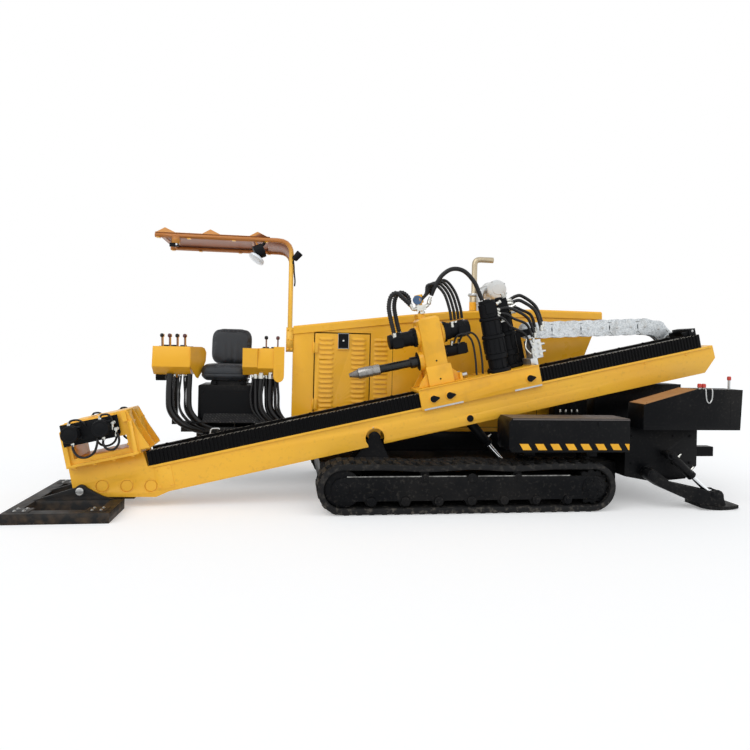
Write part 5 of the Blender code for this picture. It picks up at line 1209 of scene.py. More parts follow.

# Power head: a cast yellow gearbox with bolted covers and smears of grease, and black hydraulic motors in front of and
# behind it.
# A blue swivel cap stands on a plated fitting on top.
FORWARD, REARWARD, MOTOR_V = (-1, 0, 0), (1, 0, 0), 0.935
dress(CARRIAGE_YELLOW, "gearbox")
dress(CAST, "motor_brake")
head_bolts = [bolt_circle((0.6555, 0.0, MOTOR_V), FORWARD, 0.098, 4, 0.011, 0.012, 0.785),
              bolt_circle((0.9545, 0.0, MOTOR_V), REARWARD, 0.1045, 4, 0.011, 0.012, 0.785),
              bolt_circle((0.6355, 0.0, ROD_V), FORWARD, 0.088, 8, 0.009, 0.01)]
# The foot is a wider casting with sloped shoulders; pairs of ribs hold it in front and behind.
BOX_FRONT, BOX_REAR = 0.672, 0.944
foot_parts, plugs = [], []
for sign in (-1, 1):
    shoulder = np.array([(0.139, DECK_V), (0.168, DECK_V), (0.168, 0.555), (0.139, 0.606)]) * (sign, 1)
    foot_parts.append(sheet_cut(shoulder, BOX_FRONT, BOX_REAR, axis=0))
    for rib, middle in (([(BOX_REAR, DECK_V), (1.075, DECK_V), (1.045, 0.455), (BOX_REAR, 0.56)], 0.1),
                        ([(BOX_FRONT, DECK_V), (0.56, DECK_V), (0.585, 0.45), (BOX_FRONT, 0.545)], 0.12)):
        foot_parts.append(sheet_cut(rib, sign * middle - 0.011, sign * middle + 0.011))
    foot_parts.append(sheet_cut([(BOX_REAR, DECK_V), (1.12, DECK_V), (1.12, 0.412), (BOX_REAR, 0.412)], sign * 0.05,
                                sign * 0.17))
    foot_parts.append(side_block(sign, (1.015, 0.085, DECK_V), (1.04, 0.165, 0.485)))
    plugs += [turned((0.8, sign * y, v), (0, sign, 0), [(0.0, 0.0095), (0.003, 0.0095), (0.0035, 0.004)], 14)
              for v, y in ((0.655, 0.14), (0.462, 0.168))]
for v, radius, out in ((MOTOR_V, 0.125, 1), (MOTOR_V, 0.12, -1), (0.725, 0.078, 1)):
    foot_parts.append(turned((0.925 if out > 0 else 0.685, 0.0, v), (out, 0, 0),
                             [(0.0, radius), (0.018, radius), (0.024, radius - 0.008)], 32))
lifting_eyes = [sheet_cut([(0.7, 1.12), (0.74, 1.12), (0.74, 1.165), (0.72, 1.18), (0.7, 1.165)], y - 0.01, y + 0.01)
                for y in (-0.1, 0.1)]
bushes = [turned((1.045, sign * 0.13, 0.452), REARWARD, [(0.0, 0.024), (0.05, 0.024), (0.052, 0.018)], 20)
          for sign in (-1, 1)]
piece("gearbox_foot", on_mast(*foot_parts, *lifting_eyes), CARRIAGE_YELLOW, "carriage", bevel=0.002)
piece("gearbox_bolts", on_mast(*head_bolts), CAST, "carriage")
piece("gearbox_plugs", on_mast(*plugs), CAST, "carriage", sharp=30)
piece("gearbox_bushes", on_mast(*bushes), STEEL, "carriage", sharp=30)
BLUE = surface("blue_cap", lambda place: {
    "Base Color": mixed(cloud(place, 20.0), colour(38, 72, 108), colour(54, 94, 134)),
    "Roughness": ramp(cloud(place, 30.0), 0.3, 0.7, 0.3, 0.42)}, Coat_Weight=0.3)
swivel = [turned((0.77, 0.0, 1.17), UP, [(0.0, 0.04), (0.022, 0.04), (0.024, 0.028), (0.05, 0.028)], 6),
          block((0.722, -0.036, 1.205), (0.822, 0.036, 1.262)),
          turned((0.745, 0.0, 1.262), UP, [(0.0, 0.026), (0.02, 0.026), (0.022, 0.022), (0.06, 0.022)], 16),
          turned((0.722, 0.0, 1.232), FORWARD, [(0.0, 0.019), (0.03, 0.019), (0.032, 0.013), (0.05, 0.013)], 12),
          turned((0.822, 0.0, 1.236), (1, 0, 0.5), [(0.0, 0.019), (0.04, 0.019), (0.042, 0.014), (0.07, 0.014)], 12),
          turned((0.86, -0.02, 1.262), (0.5, 0, 1), [(0.0, 0.022), (0.045, 0.022), (0.047, 0.017), (0.075, 0.017)], 14),
          turned((0.745, 0.03, 1.322), NEARWARD, [(0.0, 0.03), (0.058, 0.03)], 20)]
cap = turned((0.745, -0.022, 1.322), NEARWARD, [(0.0, 0.046), (0.004, 0.0495), (0.02, 0.0495), (0.024, 0.046),
                                                (0.024, 0.03), (0.022, 0.028), (0.022, 0.008)], 32)
piece("swivel_fitting", on_mast(*swivel), SHINE, "carriage", sharp=30)
piece("swivel_cap", on_mast(cap), BLUE, "carriage", sharp=30)
# Motors: turned bodies with a bolted flange and end box.
# Ribbed hose sleeves arch over from them to the swivel.
FRONT_HALF, REAR_HALF, END_LOW, END_HIGH = 0.104, 0.108, 0.868, 0.966
front_motor = [turned((0.652, 0.0, MOTOR_V), FORWARD,
                      [(0.0, 0.104), (0.022, 0.104), (0.026, 0.088), (0.06, 0.085), (0.066, 0.08), (0.15, 0.08),
                       (0.156, 0.0865), (0.235, 0.0865), (0.24, 0.08), (0.292, 0.076), (0.297, 0.06)], 36),
               block((0.385, -FRONT_HALF, END_LOW), (0.5, FRONT_HALF, END_HIGH))]
rear_motor = [turned((0.958, 0.0, MOTOR_V), REARWARD,
                     [(0.0, 0.112), (0.024, 0.112), (0.028, 0.094), (0.075, 0.09), (0.082, 0.084), (0.16, 0.084),
                      (0.166, 0.0935), (0.235, 0.0935), (0.24, 0.086), (0.29, 0.082), (0.296, 0.064)], 36),
              block((1.11, -REAR_HALF, END_LOW), (1.225, REAR_HALF, END_HIGH))]
front_sleeves, rear_sleeves, cuffs = [], [], []
for i, y in enumerate((-0.05, 0.045)):
    u, end = 0.425 + 0.075 * i, 0.655 + 0.01 * i
    front_sleeves.append(pipe_along([(u, y, 1.02), (u - 0.006, y, 1.16), (u - 0.002, y, 1.3), (u + 0.04, y, 1.405),
                                     (u + 0.105, y * 0.9, 1.435), (u + 0.165, y * 0.8, 1.375), (end, y * 0.7, 1.29)],
                                    0.0215, 14, ring=0.2, pitch=0.024))
    cuffs += [fitting((u, y, 0.955), UP, 0.021),
              turned((end, y * 0.7, 1.297), (0.35, 0, -1),
                     [(0.0, 0.021), (0.025, 0.021), (0.026, 0.014), (0.062, 0.014)], 12)]
for i, y in enumerate((-0.06, -0.02, 0.022, 0.062)):
    u, lift = 1.06 + 0.052 * i, 0.008 * i
    rear_sleeves.append(pipe_along([(u, y, 1.04), (u + 0.004, y, 1.16), (u - 0.02, y, 1.33),
                                    (u - 0.09, y * 0.9, 1.44 + lift), (u - 0.18, y * 0.8, 1.455 + lift),
                                    (0.85 + 0.012 * i, y * 0.6, 1.375), (0.792, y * 0.5, 1.318)],
                                   0.015, 12, ring=0.12, pitch=0.02))
    cuffs.append(fitting((u, y, 0.965), UP, 0.0185))
for motor, name, sleeves in ((front_motor, "motor_front", front_sleeves), (rear_motor, "motor_rear", rear_sleeves)):
    made = piece(f"{name}_dressed", on_mast(*motor), CAST, "carriage", sharp=35)
    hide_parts(name)
    piece(f"{name}_sleeves", on_mast(*sleeves), HOSE, "carriage", sharp=50)
cuffs += [fitting((u, -0.03, 0.78), (0.2, -0.4, 1.0), 0.015) for u in (1.02, 1.1)]
piece("motor_fittings", on_mast(*cuffs), SHINE, "carriage", sharp=30)
motor_bolts = [bolt_circle((0.625, 0.0, MOTOR_V), FORWARD, 0.094, 4, 0.009, 0.012, 0.4),
               bolt_circle((0.986, 0.0, MOTOR_V), REARWARD, 0.1, 4, 0.009, 0.012, 0.4),
               copies(fastener(0.007, 0.007, NEARWARD), [(u, -FRONT_HALF, v) for u in (0.4, 0.485) for v in (0.885, 0.95)]),
               copies(fastener(0.007, 0.007, NEARWARD), [(u, -REAR_HALF, v) for u in (1.125, 1.21) for v in (0.885, 0.95)]),
               bolt_circle((1.1755, 0.0, 0.725), REARWARD, 0.045, 4, 0.007, 0.008)]
piece("motor_bolts", on_mast(*motor_bolts), CAST, "carriage")

# Feed drives: two upright stacks of gear stages and motors, bolted through their flanges onto the carriage's deck.
# Plated fittings and hoses run from them to a bare aluminium valve block behind.
dress(CAST, "feed_drive_near", "feed_drive_far")
drive_rings, drive_bolts, drive_ends, drive_hoses = [], [], [], []
# Stages of a drive from its foot: low and high level, radius, and how many upright ribs stand round it.
STAGES = ((DECK_V, 0.44, 0.128, 0), (0.44, 0.545, 0.098, 8), (0.545, 0.6, 0.118, 0), (0.6, 0.765, 0.113, 12),
          (0.765, 0.8, 0.122, 0), (0.8, 0.96, 0.1, 8), (0.96, 0.99, 0.112, 0), (0.99, 1.14, 0.098, 6),
          (1.14, 1.178, 0.088, 0))
for u, y in ((1.47, -0.095), (1.675, 0.095)):
    for low, high, radius, ribs in STAGES:
        drive_rings.append(turned((u, y, low), UP, [(0.0, radius - 0.005), (0.004, radius), (high - low - 0.004, radius),
                                                    (high - low, radius - 0.006)], 32))
        for angle in np.arange(ribs) * 2 * np.pi / max(ribs, 1) + 0.2:
            rib = np.array([(radius - 0.004, -0.006), (radius + 0.007, -0.004), (radius + 0.007, 0.004),
                            (radius - 0.004, 0.006)])
            spin = np.array([[np.cos(angle), np.sin(angle)], [-np.sin(angle), np.cos(angle)]])
            drive_rings.append(sheet_cut(rib @ spin + (u, y), low + 0.012, high - 0.012, axis=2))
    drive_bolts += [bolt_circle((u, y, v), UP, radius, count, 0.009, 0.011)
                    for v, radius, count in ((0.44, 0.112, 10), (0.8, 0.109, 10), (0.99, 0.104, 6))]
    drive_rings.append(block((u - 0.055, y - 0.108, 1.035), (u + 0.055, y + 0.108, 1.15)))
    drive_rings.append(turned((u, y, 1.17), UP, [(0.0, 0.04), (0.016, 0.038), (0.02, 0.024)], 6))
# Hoses from the drives' heads (start, peak, end, radius): they bow outward and fall to the alloy block behind.
for start, peak, end, size in (((1.775, 0.06, 1.135), (1.93, 0.03, 1.15), (2.075, -0.02, 0.835), 0.0185),
                               ((1.775, 0.02, 1.1), (1.9, -0.03, 1.09), (2.035, -0.06, 0.8), 0.0185),
                               ((1.77, 0.09, 1.04), (1.89, 0.05, 1.01), (1.995, 0.0, 0.79), 0.0165),
                               ((1.58, -0.08, 1.06), (1.76, -0.11, 1.02), (1.935, -0.09, 0.74), 0.0165),
                               ((1.575, -0.12, 1.02), (1.72, -0.145, 0.93), (1.895, -0.12, 0.7), 0.014),
                               ((1.56, -0.14, 0.99), (1.66, -0.16, 0.86), (1.86, -0.13, 0.58), 0.012)):
    start, peak, end = (np.array(point) for point in (start, peak, end))
    drive_hoses.append(pipe_along([start, start * 0.45 + peak * 0.55 + (0, 0, 0.022), peak,
                                   peak * 0.45 + end * 0.55 + (0.036, 0, 0.04), end], size, 12))
    drive_ends.append(fitting(start - unit(peak - start) * 0.03, peak - start, size))
    drive_ends.append(fitting(end + (0.0, 0.0, -0.06), (0.1, 0, 1.0), size))
# Two thin hoses fall from under the rear motor to the deck, and a thick one arches from the swivel's side to a drive's head.
for shift in (0.0, -0.07):
    drive_hoses.append(pipe_along([(1.1 + shift * 0.8, -0.055, 0.8), (1.15 + shift, -0.095, 0.865),
                                   (1.235 + shift, -0.125, 0.87), (1.29 + shift, -0.135, 0.78),
                                   (1.29 + shift, -0.14, 0.6), (1.27 + shift, -0.14, 0.42)], 0.011, 10, 7))
drive_hoses.append(pipe_along([(0.905, -0.02, 1.345), (0.955, -0.05, 1.425), (1.05, -0.075, 1.53), (1.17, -0.09, 1.575),
                               (1.29, -0.095, 1.53), (1.375, -0.1, 1.4), (1.41, -0.1, 1.26),
                               (1.425, -0.095, 1.19)], 0.0235, 14))
for place, out in (((1.73, 0.04, 1.178), (0.4, -0.2, 1)), ((1.765, 0.0, 1.06), (1, -0.3, 0.3)),
                   ((1.77, 0.05, 1.0), REARWARD), ((1.585, -0.1, 0.93), (1, -0.2, 0)),
                   ((1.7, 0.01, 1.176), (-0.3, -0.4, 1)), ((1.585, -0.06, 1.12), (1, 0, 0.4))):
    drive_ends.append(turned(place, out,
                             [(0.0, 0.02), (0.018, 0.02), (0.02, 0.014), (0.04, 0.014), (0.041, 0.019), (0.056, 0.019)], 8))
drive_ends.append(pipe_along([(1.8, -0.09, 0.78), (1.83, -0.11, 0.7), (1.8, -0.12, 0.6), (1.84, -0.13, 0.52)], 0.008, 8, 7))
piece("drive_stages", on_mast(*drive_rings), CAST, "carriage", sharp=30)
piece("drive_bolts", on_mast(*drive_bolts), CAST, "carriage")
piece("drive_fittings", on_mast(*drive_ends), SHINE, "carriage", sharp=30)
piece("drive_hoses", on_mast(*drive_hoses), HOSE, "carriage", sharp=80)
ALLOY = surface("valve_block_alloy", lambda place: {
    "Base Color": mixed(cloud(place, 22.0, 4.0), colour(186, 188, 188), colour(214, 216, 216)),
    "Roughness": ramp(cloud(place, 40.0, 3.0, (1.0, 6.0, 1.0)), 0.3, 0.7, 0.28, 0.42)}, Metallic=0.75)
dress(ALLOY, "valve_block")
valve_plugs = [turned((u, -0.12, v), NEARWARD, [(0.0, 0.017), (0.01, 0.017), (0.011, 0.012), (0.022, 0.012)], 6)
               for u in (1.89, 1.95) for v in (0.5, 0.56, 0.62)]
valve_plugs += [turned((1.98, y, v), REARWARD, [(0.0, 0.016), (0.01, 0.016), (0.03, 0.013), (0.05, 0.013)], 14)
                for y in (-0.08, -0.03, 0.02) for v in (0.52, 0.6)]
piece("valve_plugs", on_mast(*valve_plugs), SHINE, "carriage", sharp=30)

# Spindle: an oiled sub turned from bar, with a thread cone that screws into the drill rods, on a greased black shaft.
# It comes out of the gearbox through a bolted gland.


def thread_steel(place):
    """Greased dark steel, worn bright on its ridges."""
    film = cloud(place, 30.0, 5.0)
    return {"Base Color": mixed(film, colour(12, 12, 13), colour(44, 44, 44)), "Roughness": ramp(film, 0.3, 0.7, 0.16, 0.36),
            "Metallic": ramp(film, 0.3, 0.7, 0.3, 0.8), "Normal": relief(film, 0.0003, 0.3)}


SHAFT = surface("greased_shaft", thread_steel, Specular_IOR_Level=0.5)
DULLED = surface("oiled_sub_steel", lambda place: {
    "Base Color": mixed(cloud(place, 26.0, 5.0), colour(96, 94, 92), colour(172, 170, 167)),
    "Roughness": ramp(cloud(place, 40.0), 0.3, 0.7, 0.2, 0.38)}, Metallic=0.85)
# The cone tapers evenly, and its radius goes up and down by turns for the thread's crests and roots.
cone = [(0.002 + 0.092 * t, 0.0455 - 0.0255 * t + (0.0022 if i % 2 else -0.0006))
        for i, t in enumerate(np.linspace(0, 1, 26))]
sub_parts = [turned((0.21, 0, ROD_V), FORWARD, [(0.0, 0.05), (0.006, 0.0575), (0.07, 0.0575), (0.073, 0.055), (0.083, 0.055),
                                                 (0.086, 0.0575), (0.222, 0.0575), (0.236, 0.052), (0.238, 0.046)], 40),
             turned((-0.028, 0, ROD_V), FORWARD, cone, 32)]
shaft_turned = turned((0.634, 0, ROD_V), FORWARD, [(0.0, 0.061), (0.085, 0.061), (0.092, 0.052), (0.098, 0.0445),
                                                   (0.4, 0.0445), (0.425, 0.05)], 32)
shaft = piece("spindle_shaft", on_mast(shaft_turned), SHAFT, "spindle", sharp=30)
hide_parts("spindle")
piece("spindle_sub", on_mast(*sub_parts), DULLED, "spindle", sharp=30)
gland = turned((0.636, 0, ROD_V), FORWARD, [(0.0, 0.1), (0.006, 0.1), (0.008, 0.08), (0.016, 0.078), (0.018, 0.066)], 32)
piece("spindle_gland", on_mast(gland), CAST, "carriage", sharp=30)

# Drag chains: galvanised steel link plates on cross stays, one run resting in the tray and one curving up to the carriage.
# Each link is a pair of waisted side plates whose ends overlap the next pair, with a pin through both.


def zinc_plate(place):
    """Galvanised sheet: pale grey spangle, duller in patches and slightly stained."""
    spangle = place.node("ShaderNodeTexVoronoi", {"feature": "F1"}, {"Vector": place, "Scale": 90.0}, out=1)
    tone = mixed(part_of(spangle, 0), colour(182, 188, 192), colour(222, 226, 228))
    stain = ramp(cloud(place, 12.0, 5.0), 0.52, 0.76) * 0.35
    return {"Base Color": mixed(stain, tone, colour(128, 120, 106)),
            "Roughness": ramp(cloud(place, 22.0, 4.0), 0.3, 0.7, 0.3, 0.5),
            "Normal": relief(cloud(place, 200.0), 0.0002, 0.3)}


ZINC = surface("galvanised_plate", zinc_plate, Metallic=0.55)
dress(ZINC, "chain_tray")


def chain_run(joints, high, near, far, plate_thick=0.004):
    """Link plates along a row of joints in the mast's frame. Each plate is two rounds joined by a waist:
    its half height is high at the ends and falls by a cosine to nine tenths of that halfway."""
    made, pins = [], []
    joints = np.asarray(joints, float)
    for number, (start, end) in enumerate(zip(joints[:-1], joints[1:])):
        along = end - start
        length = np.hypot(*along)
        along = along / length
        up = np.array([-along[1], along[0]])
        t = np.linspace(0, 1, 9)[:, None]
        waist = high * (0.95 + 0.05 * np.cos(2 * np.pi * t))
        turn = np.linspace(np.radians(75), np.radians(-75), 9)[:, None]
        tail = start - high * np.cos(turn) * along + high * np.sin(turn) * up
        head = end + high * np.cos(turn) * along + high * np.sin(turn) * up
        above = start + t * length * along + waist * up
        below = start + t * length * along - waist * up
        outline = np.vstack([above, head, below[::-1], tail[::-1]])
        step = plate_thick * (number % 2)
        for y, sign in ((near, 1), (far, -1)):
            low, top = sorted((y + sign * step, y + sign * (step + plate_thick)))
            made.append(sheet_cut(outline, low, top))
        middle = (start + end) / 2
        for lift in (-0.62, 0.62):
            stay = np.array([(-0.028, -0.004), (0.028, -0.004), (0.028, 0.004), (-0.028, 0.004)])
            ring = middle + stay[:, :1] * along + (stay[:, 1:] + lift * high) * up
            made.append(sheet_cut(ring, near + 0.004, far - 0.004))
        spots = [middle + dx * along + lift * high * up for lift in (0.62, -0.62) for dx in (0.02, -0.02)]
        pins.append(copies(fastener(0.0045, 0.003, NEARWARD), [(u, near, v) for u, v in spots]))
    for u, v in joints:
        for y, sign in ((near, -1), (far, 1)):
            pins.append(turned((u, y, v), (0, sign, 0),
                               [(-0.002, 0.016), (0.003, 0.016), (0.0045, 0.012), (0.0045, 0.006), (0.003, 0.004)], 16))
    return made, pins


def inner_hoses(joints):
    """Three black hoses laid side by side through the chain."""
    return [pipe_along([(u, 0.245 + 0.1 * share, v) for u, v in joints], 0.013, 8, 3) for share in (0.25, 0.5, 0.75)]


LINK, CHAIN_NEAR, CHAIN_FAR = 0.175, 0.238, 0.352
run = [(2.03 + LINK * i, 0.755 - 0.0277 * i) for i in range(9)]
for turn in (-20, -55):
    run.append(tuple(np.array(run[-1]) + LINK * np.array([np.cos(np.radians(turn)), np.sin(np.radians(turn))])))
made, pins = chain_run(run, 0.097, CHAIN_NEAR, CHAIN_FAR)
upper = piece("chain_upper_links", on_mast(*made), ZINC, "carriage", bevel=0.0008)
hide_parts("chain_upper")
end = run[-1]
collar = turned((end[0], 0.295, end[1]), (0, 1, 0), [(-0.066, 0.03), (-0.066, 0.048), (0.066, 0.048), (0.066, 0.03)], 32)
piece("chain_upper_pins", on_mast(*pins, collar), STEEL, "carriage", sharp=30)
# A bracket of two uprights, their webs and an arm ties the run's front end to the carriage's deck.
uprights = [(1.8, DECK_V), (1.863, DECK_V), (1.863, 0.789), (1.8, 0.789)]
arm_plates = [sheet_cut(uprights, 0.124, 0.132), sheet_cut(uprights, 0.178, 0.186),
              block((1.802, 0.13, DECK_V), (1.861, 0.18, 0.425)), block((1.802, 0.13, 0.71), (1.861, 0.18, 0.785)),
              sheet_cut([(1.806, 0.692), (2.046, 0.705), (2.046, 0.778), (1.806, 0.778)], 0.222, 0.234),
              block((1.806, 0.134, 0.695), (1.86, 0.232, 0.703)), block((1.806, 0.134, 0.77), (1.99, 0.294, 0.779))]
piece("chain_hoses", on_mast(*inner_hoses(run)), HOSE, "carriage", sharp=80)
piece("chain_arm", on_mast(*arm_plates), CAST, "carriage", bevel=0.002)
resting = [(1.0 + LINK * i, 0.163) for i in range(15)]
made, pins = chain_run(resting, 0.05, CHAIN_NEAR, CHAIN_FAR)
lower = piece("chain_lower_links", on_mast(*made), ZINC, "mast", bevel=0.0008)
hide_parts("chain_lower")
piece("chain_lower_pins", on_mast(*pins), STEEL, "mast", sharp=30)
piece("chain_lower_hoses", on_mast(*inner_hoses(resting)), HOSE, "mast", sharp=80)
tray_bolts = copies(fastener(0.007, 0.006, UP), [(u, 0.2, 0.104) for u in np.arange(1.0, 3.8, 0.35)])
piece("tray_bolts", on_mast(tray_bolts), STEEL, "mast")

# Lift cylinder: a black barrel with a bolted gland, a hard chrome rod and two plated hose fittings; it tilts the mast.
# The two smaller cylinders of the rear legs are made the same way.
CHROME = surface("hard_chrome", lambda place: {
    "Base Color": mixed(cloud(place, 30.0, 3.0), colour(206, 208, 210), colour(232, 234, 236)),
    "Roughness": ramp(cloud(place, 80.0, 3.0), 0.3, 0.7, 0.05, 0.12)}, Metallic=1.0)
dress(BLACK, "lift_barrel")
dress(CHROME, "lift_rod", "leg_rod_near", "leg_rod_far")


def along_node(name, share):
    """A place on the long axis of a cylinder's CAD node, as a share of its length from its upper end, and the axis.
    The axis is the direction in which the node's points spread most."""
    low, high = (np.array(corner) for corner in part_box(name))
    middle = (low + high) / 2
    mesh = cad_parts[name].data
    points = np.empty(len(mesh.vertices) * 3)
    mesh.vertices.foreach_get("co", points)
    points = points.reshape(-1, 3)
    axis = np.linalg.svd(points - points.mean(0), full_matrices=False)[2][0]
    axis = axis * -np.sign(axis[2])
    run_along = (points - middle) @ axis
    start = middle + axis * run_along.min()
    return start + axis * (share * (run_along.max() - run_along.min())), axis


def cylinder_dress(node, radius):
    """Gland, end ring, bolts and two ports for a cylinder's barrel, worked out from its CAD node."""
    gland, axis = along_node(node, 1.0)
    head, axis = along_node(node, 0.22)
    rings = [turned(gland - axis * 0.002, -axis,
                    [(0.0, radius * 0.72), (0.002, radius + 0.004), (0.03, radius + 0.004), (0.033, radius)], 28),
             turned(head, axis, [(0.0, radius), (0.002, radius + 0.003), (0.012, radius + 0.003), (0.014, radius)], 28)]
    heads = [bolt_circle(gland - axis * 0.001, axis, radius * 0.86, 6, radius * 0.1, radius * 0.09)]
    side = unit(np.cross(axis, (0, 1, 0)))
    side = side * np.sign(side[2])
    ports = []
    for share in (0.34, 0.86):
        place, _ = along_node(node, share)
        ports.append(turned(place + side * (radius - 0.004), side,
                            [(0.0, 0.014), (0.016, 0.014), (0.017, 0.01), (0.024, 0.01)], 14))
        ports.append(fitting(place + side * (radius + 0.018), side, 0.008))
    piece(f"{node}_rings", rings, BLACK, node, sharp=30)
    piece(f"{node}_gland_bolts", heads, STEEL, node)
    piece(f"{node}_ports", ports, SHINE, node, sharp=30)


cylinder_dress("lift_barrel", 0.0551)
for side in ("near", "far"):
    dress(BLACK, f"leg_barrel_{side}", f"leg_{side}")
    cylinder_dress(f"leg_barrel_{side}", 0.046)

# Anchor base: a heavy black welded frame under the mast's front, staked to the ground when the machine drills.
# Bolted pads stand on its corners, and the pin that carries the mast has a bare disc at each end.


def anchor_paint(place):
    """Flat black on heavy plate, scraped and dusty, browned with soil near the ground."""
    film = cloud(place, 5.0, 5.0)
    soil = ramp(part_of(place, 2), 0.16, 0.0) * ramp(cloud(place, 14.0, 5.0), 0.4, 0.7) * 0.5
    tone = mixed(film, colour(9, 10, 11), colour(26, 26, 27))
    return {"Base Color": mixed(soil, tone, colour(104, 84, 62)), "Roughness": ramp(film, 0.3, 0.7, 0.45, 0.68),
            "Normal": relief(cloud(place, 120.0, 5.0), 0.0008, 0.4)}


ANCHOR = surface("scraped_plate_black", anchor_paint, Specular_IOR_Level=0.25)
dress(ANCHOR, "anchor_base")
ANCHOR_PIN, RAIL_OUT = np.array([-3.0852, -0.4575, 0.1827]), 0.58
low, high = (np.array(corner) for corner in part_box("anchor_base"))
pads, pad_bolts, pin_discs = [], [], []
for sign in (-1, 1):
    pin_discs.append(turned(ANCHOR_PIN + (0, sign * 0.24, 0), (0, sign, 0),
                            [(0.0, 0.021), (0.01, 0.036), (0.016, 0.036), (0.019, 0.03), (0.019, 0.01), (0.024, 0.008)]))
    y = ANCHOR_PIN[1] + sign * RAIL_OUT
    for x in (low[0] + 0.13, high[0] - 0.13):
        pads.append(sheet_cut([(y - 0.09, 0.094), (y + 0.09, 0.094), (y + 0.07, 0.1), (y - 0.07, 0.1)],
                              x - 0.09, x + 0.09, axis=0))
        pad_bolts.append(bolt_circle((x, y, 0.099), UP, 0.055, 4, 0.011, 0.011, 0.785))
# Five stiffening strips stand on the near rail's outer face.
for x in np.linspace(low[0] + 0.1, high[0] - 0.1, 5):
    pads.append(block((x - 0.006, low[1] - 0.0005, 0.02), (x + 0.006, low[1] + 0.004, 0.08)))
piece("anchor_pads", pads, ANCHOR, "anchor", bevel=0.0015)
piece("anchor_bolts", pad_bolts, STEEL, "anchor")
piece("anchor_pin_discs", pin_discs, STEEL, "anchor", sharp=30)

# Tool box over the near track: black sheet steel with a hinged lid, and a hazard band of slanted yellow bars along its foot.
# The bars are self-adhesive reflective tape, and no words stand on them.
# BOX names its front and rear ends, its near face, its foot and its top.
dress(BLACK, "tool_box", "pump_box", "rear_body")
BOX_START, BOX_END, BOX_NEAR, BOX_FOOT, BOX_TOP = 0.371, 1.662, -1.085, 0.604, 0.944


def tape(place):
    """Reflective yellow tape with tiny hexagon cells, dulled by dust."""
    cells = place.node("ShaderNodeTexVoronoi", {"feature": "DISTANCE_TO_EDGE"}, {"Vector": place, "Scale": 300.0})
    return {"Base Color": mixed(cloud(place, 16.0, 4.0), colour(226, 160, 34), colour(246, 186, 50)),
            "Roughness": ramp(cells, 0.0, 0.1, 0.5, 0.3), "Normal": relief(cells, 0.0002, 0.3)}


TAPE = surface("hazard_tape", tape, Specular_IOR_Level=0.3)
pitch, bar, slant, foot, head = 0.161, 0.09, 0.039, BOX_FOOT + 0.024, BOX_FOOT + 0.086
bars = []
for x in BOX_END - 0.055 - pitch * np.arange(8):
    corners = np.array([(x, head), (x + bar, head), (x + bar + slant, foot), (x + slant, foot)])
    corners[:, 0] = np.clip(corners[:, 0], BOX_START + 0.045, BOX_END - 0.004)
    bars.append(sheet_cut(corners, BOX_NEAR - 0.0012, BOX_NEAR + 0.001))
piece("hazard_bars", on_machine(*bars), TAPE, "chassis")
lid = [block((BOX_START + 0.034, BOX_NEAR - 0.003, BOX_TOP - 0.016), (BOX_END - 0.002, BOX_NEAR + 0.002, BOX_TOP - 0.003)),
       block((BOX_START + 0.036, BOX_NEAR + 0.004, BOX_TOP - 0.001), (BOX_END - 0.002, -0.745, BOX_TOP + 0.0025))]
latches = [joined(block((x - 0.022, BOX_NEAR - 0.008, BOX_TOP - 0.085), (x + 0.022, BOX_NEAR + 0.001, BOX_TOP - 0.03)),
                  turned((x, BOX_NEAR - 0.007, BOX_TOP - 0.06), NEARWARD, [(0.0, 0.01), (0.005, 0.008)], 14))
           for x in (BOX_START + 0.33, BOX_END - 0.33)]
DUST_TOP = surface("dusty_lid", lambda place: {
    "Base Color": mixed(cloud(place, 9.0, 5.0), colour(58, 54, 54), colour(104, 96, 92)),
    "Roughness": ramp(cloud(place, 20.0, 4.0), 0.3, 0.7, 0.38, 0.6), "Normal": relief(cloud(place, 220.0), 0.0003, 0.4)},
    Specular_IOR_Level=0.5)
piece("tool_box_lid", on_machine(*lid), DUST_TOP, "chassis", bevel=0.001)
piece("tool_box_latches", on_machine(*latches), CAST, "chassis", bevel=0.001)

# Rear body and its twin boxes: welded black plate with brown sloped tops, red-capped locking pins and a bare U-bolt.
# The pump box beside them has a bolted cover, from which four hoses lead down.
dress(BLACK, "rear_box_near", "rear_box_far")
# The sloped top plates are given a plain mottled brown.
SLOPED_TOP_BROWN = surface("sloped_top_brown", lambda place: {
    "Base Color": mixed(cloud(place, 6.0, 5.0), colour(150, 106, 66), colour(182, 134, 88)),
    "Roughness": ramp(cloud(place, 20.0, 4.0), 0.3, 0.7, 0.4, 0.6), "Normal": relief(cloud(place, 200.0), 0.0003, 0.4)},
    Specular_IOR_Level=0.4)
RED = surface("red_cap", lambda place: {
    "Base Color": mixed(cloud(place, 18.0), colour(176, 44, 34), colour(204, 60, 44)),
    "Roughness": ramp(cloud(place, 30.0), 0.3, 0.7, 0.32, 0.48)}, Coat_Weight=0.2)
slopes, rear_caps, rear_rods, seams = [], [], [], []
run_up = np.array([(1.812, 1.0972), (2.388, 1.2598)])
plate = np.vstack([run_up, (run_up + unit((-0.17, 0.6)) * 0.004)[::-1]])
for low_y, high_y in ((-1.1, -0.81), (-0.09, 0.2)):
    slopes.append(sheet_cut(plate, low_y + 0.006, high_y - 0.006))
    slopes.append(copies(fastener(0.009, 0.008, (-0.27, 0, 0.96)),
                         [(1.85 + dx, y, 1.1105 + dx * 0.283) for dx in (0.0, 0.5) for y in (low_y + 0.03, high_y - 0.03)]))
    for x in (2.1, 2.5, 2.78):
        seams.append(block((x - 0.0015, low_y - 0.0006, 0.86), (x + 0.0015, low_y + 0.001, 1.235 if x > 2.4 else 1.15)))
    seams.append(block((1.82, low_y - 0.0006, 0.87), (2.9, low_y + 0.001, 0.8735)))
REAR_TOP = 1.255
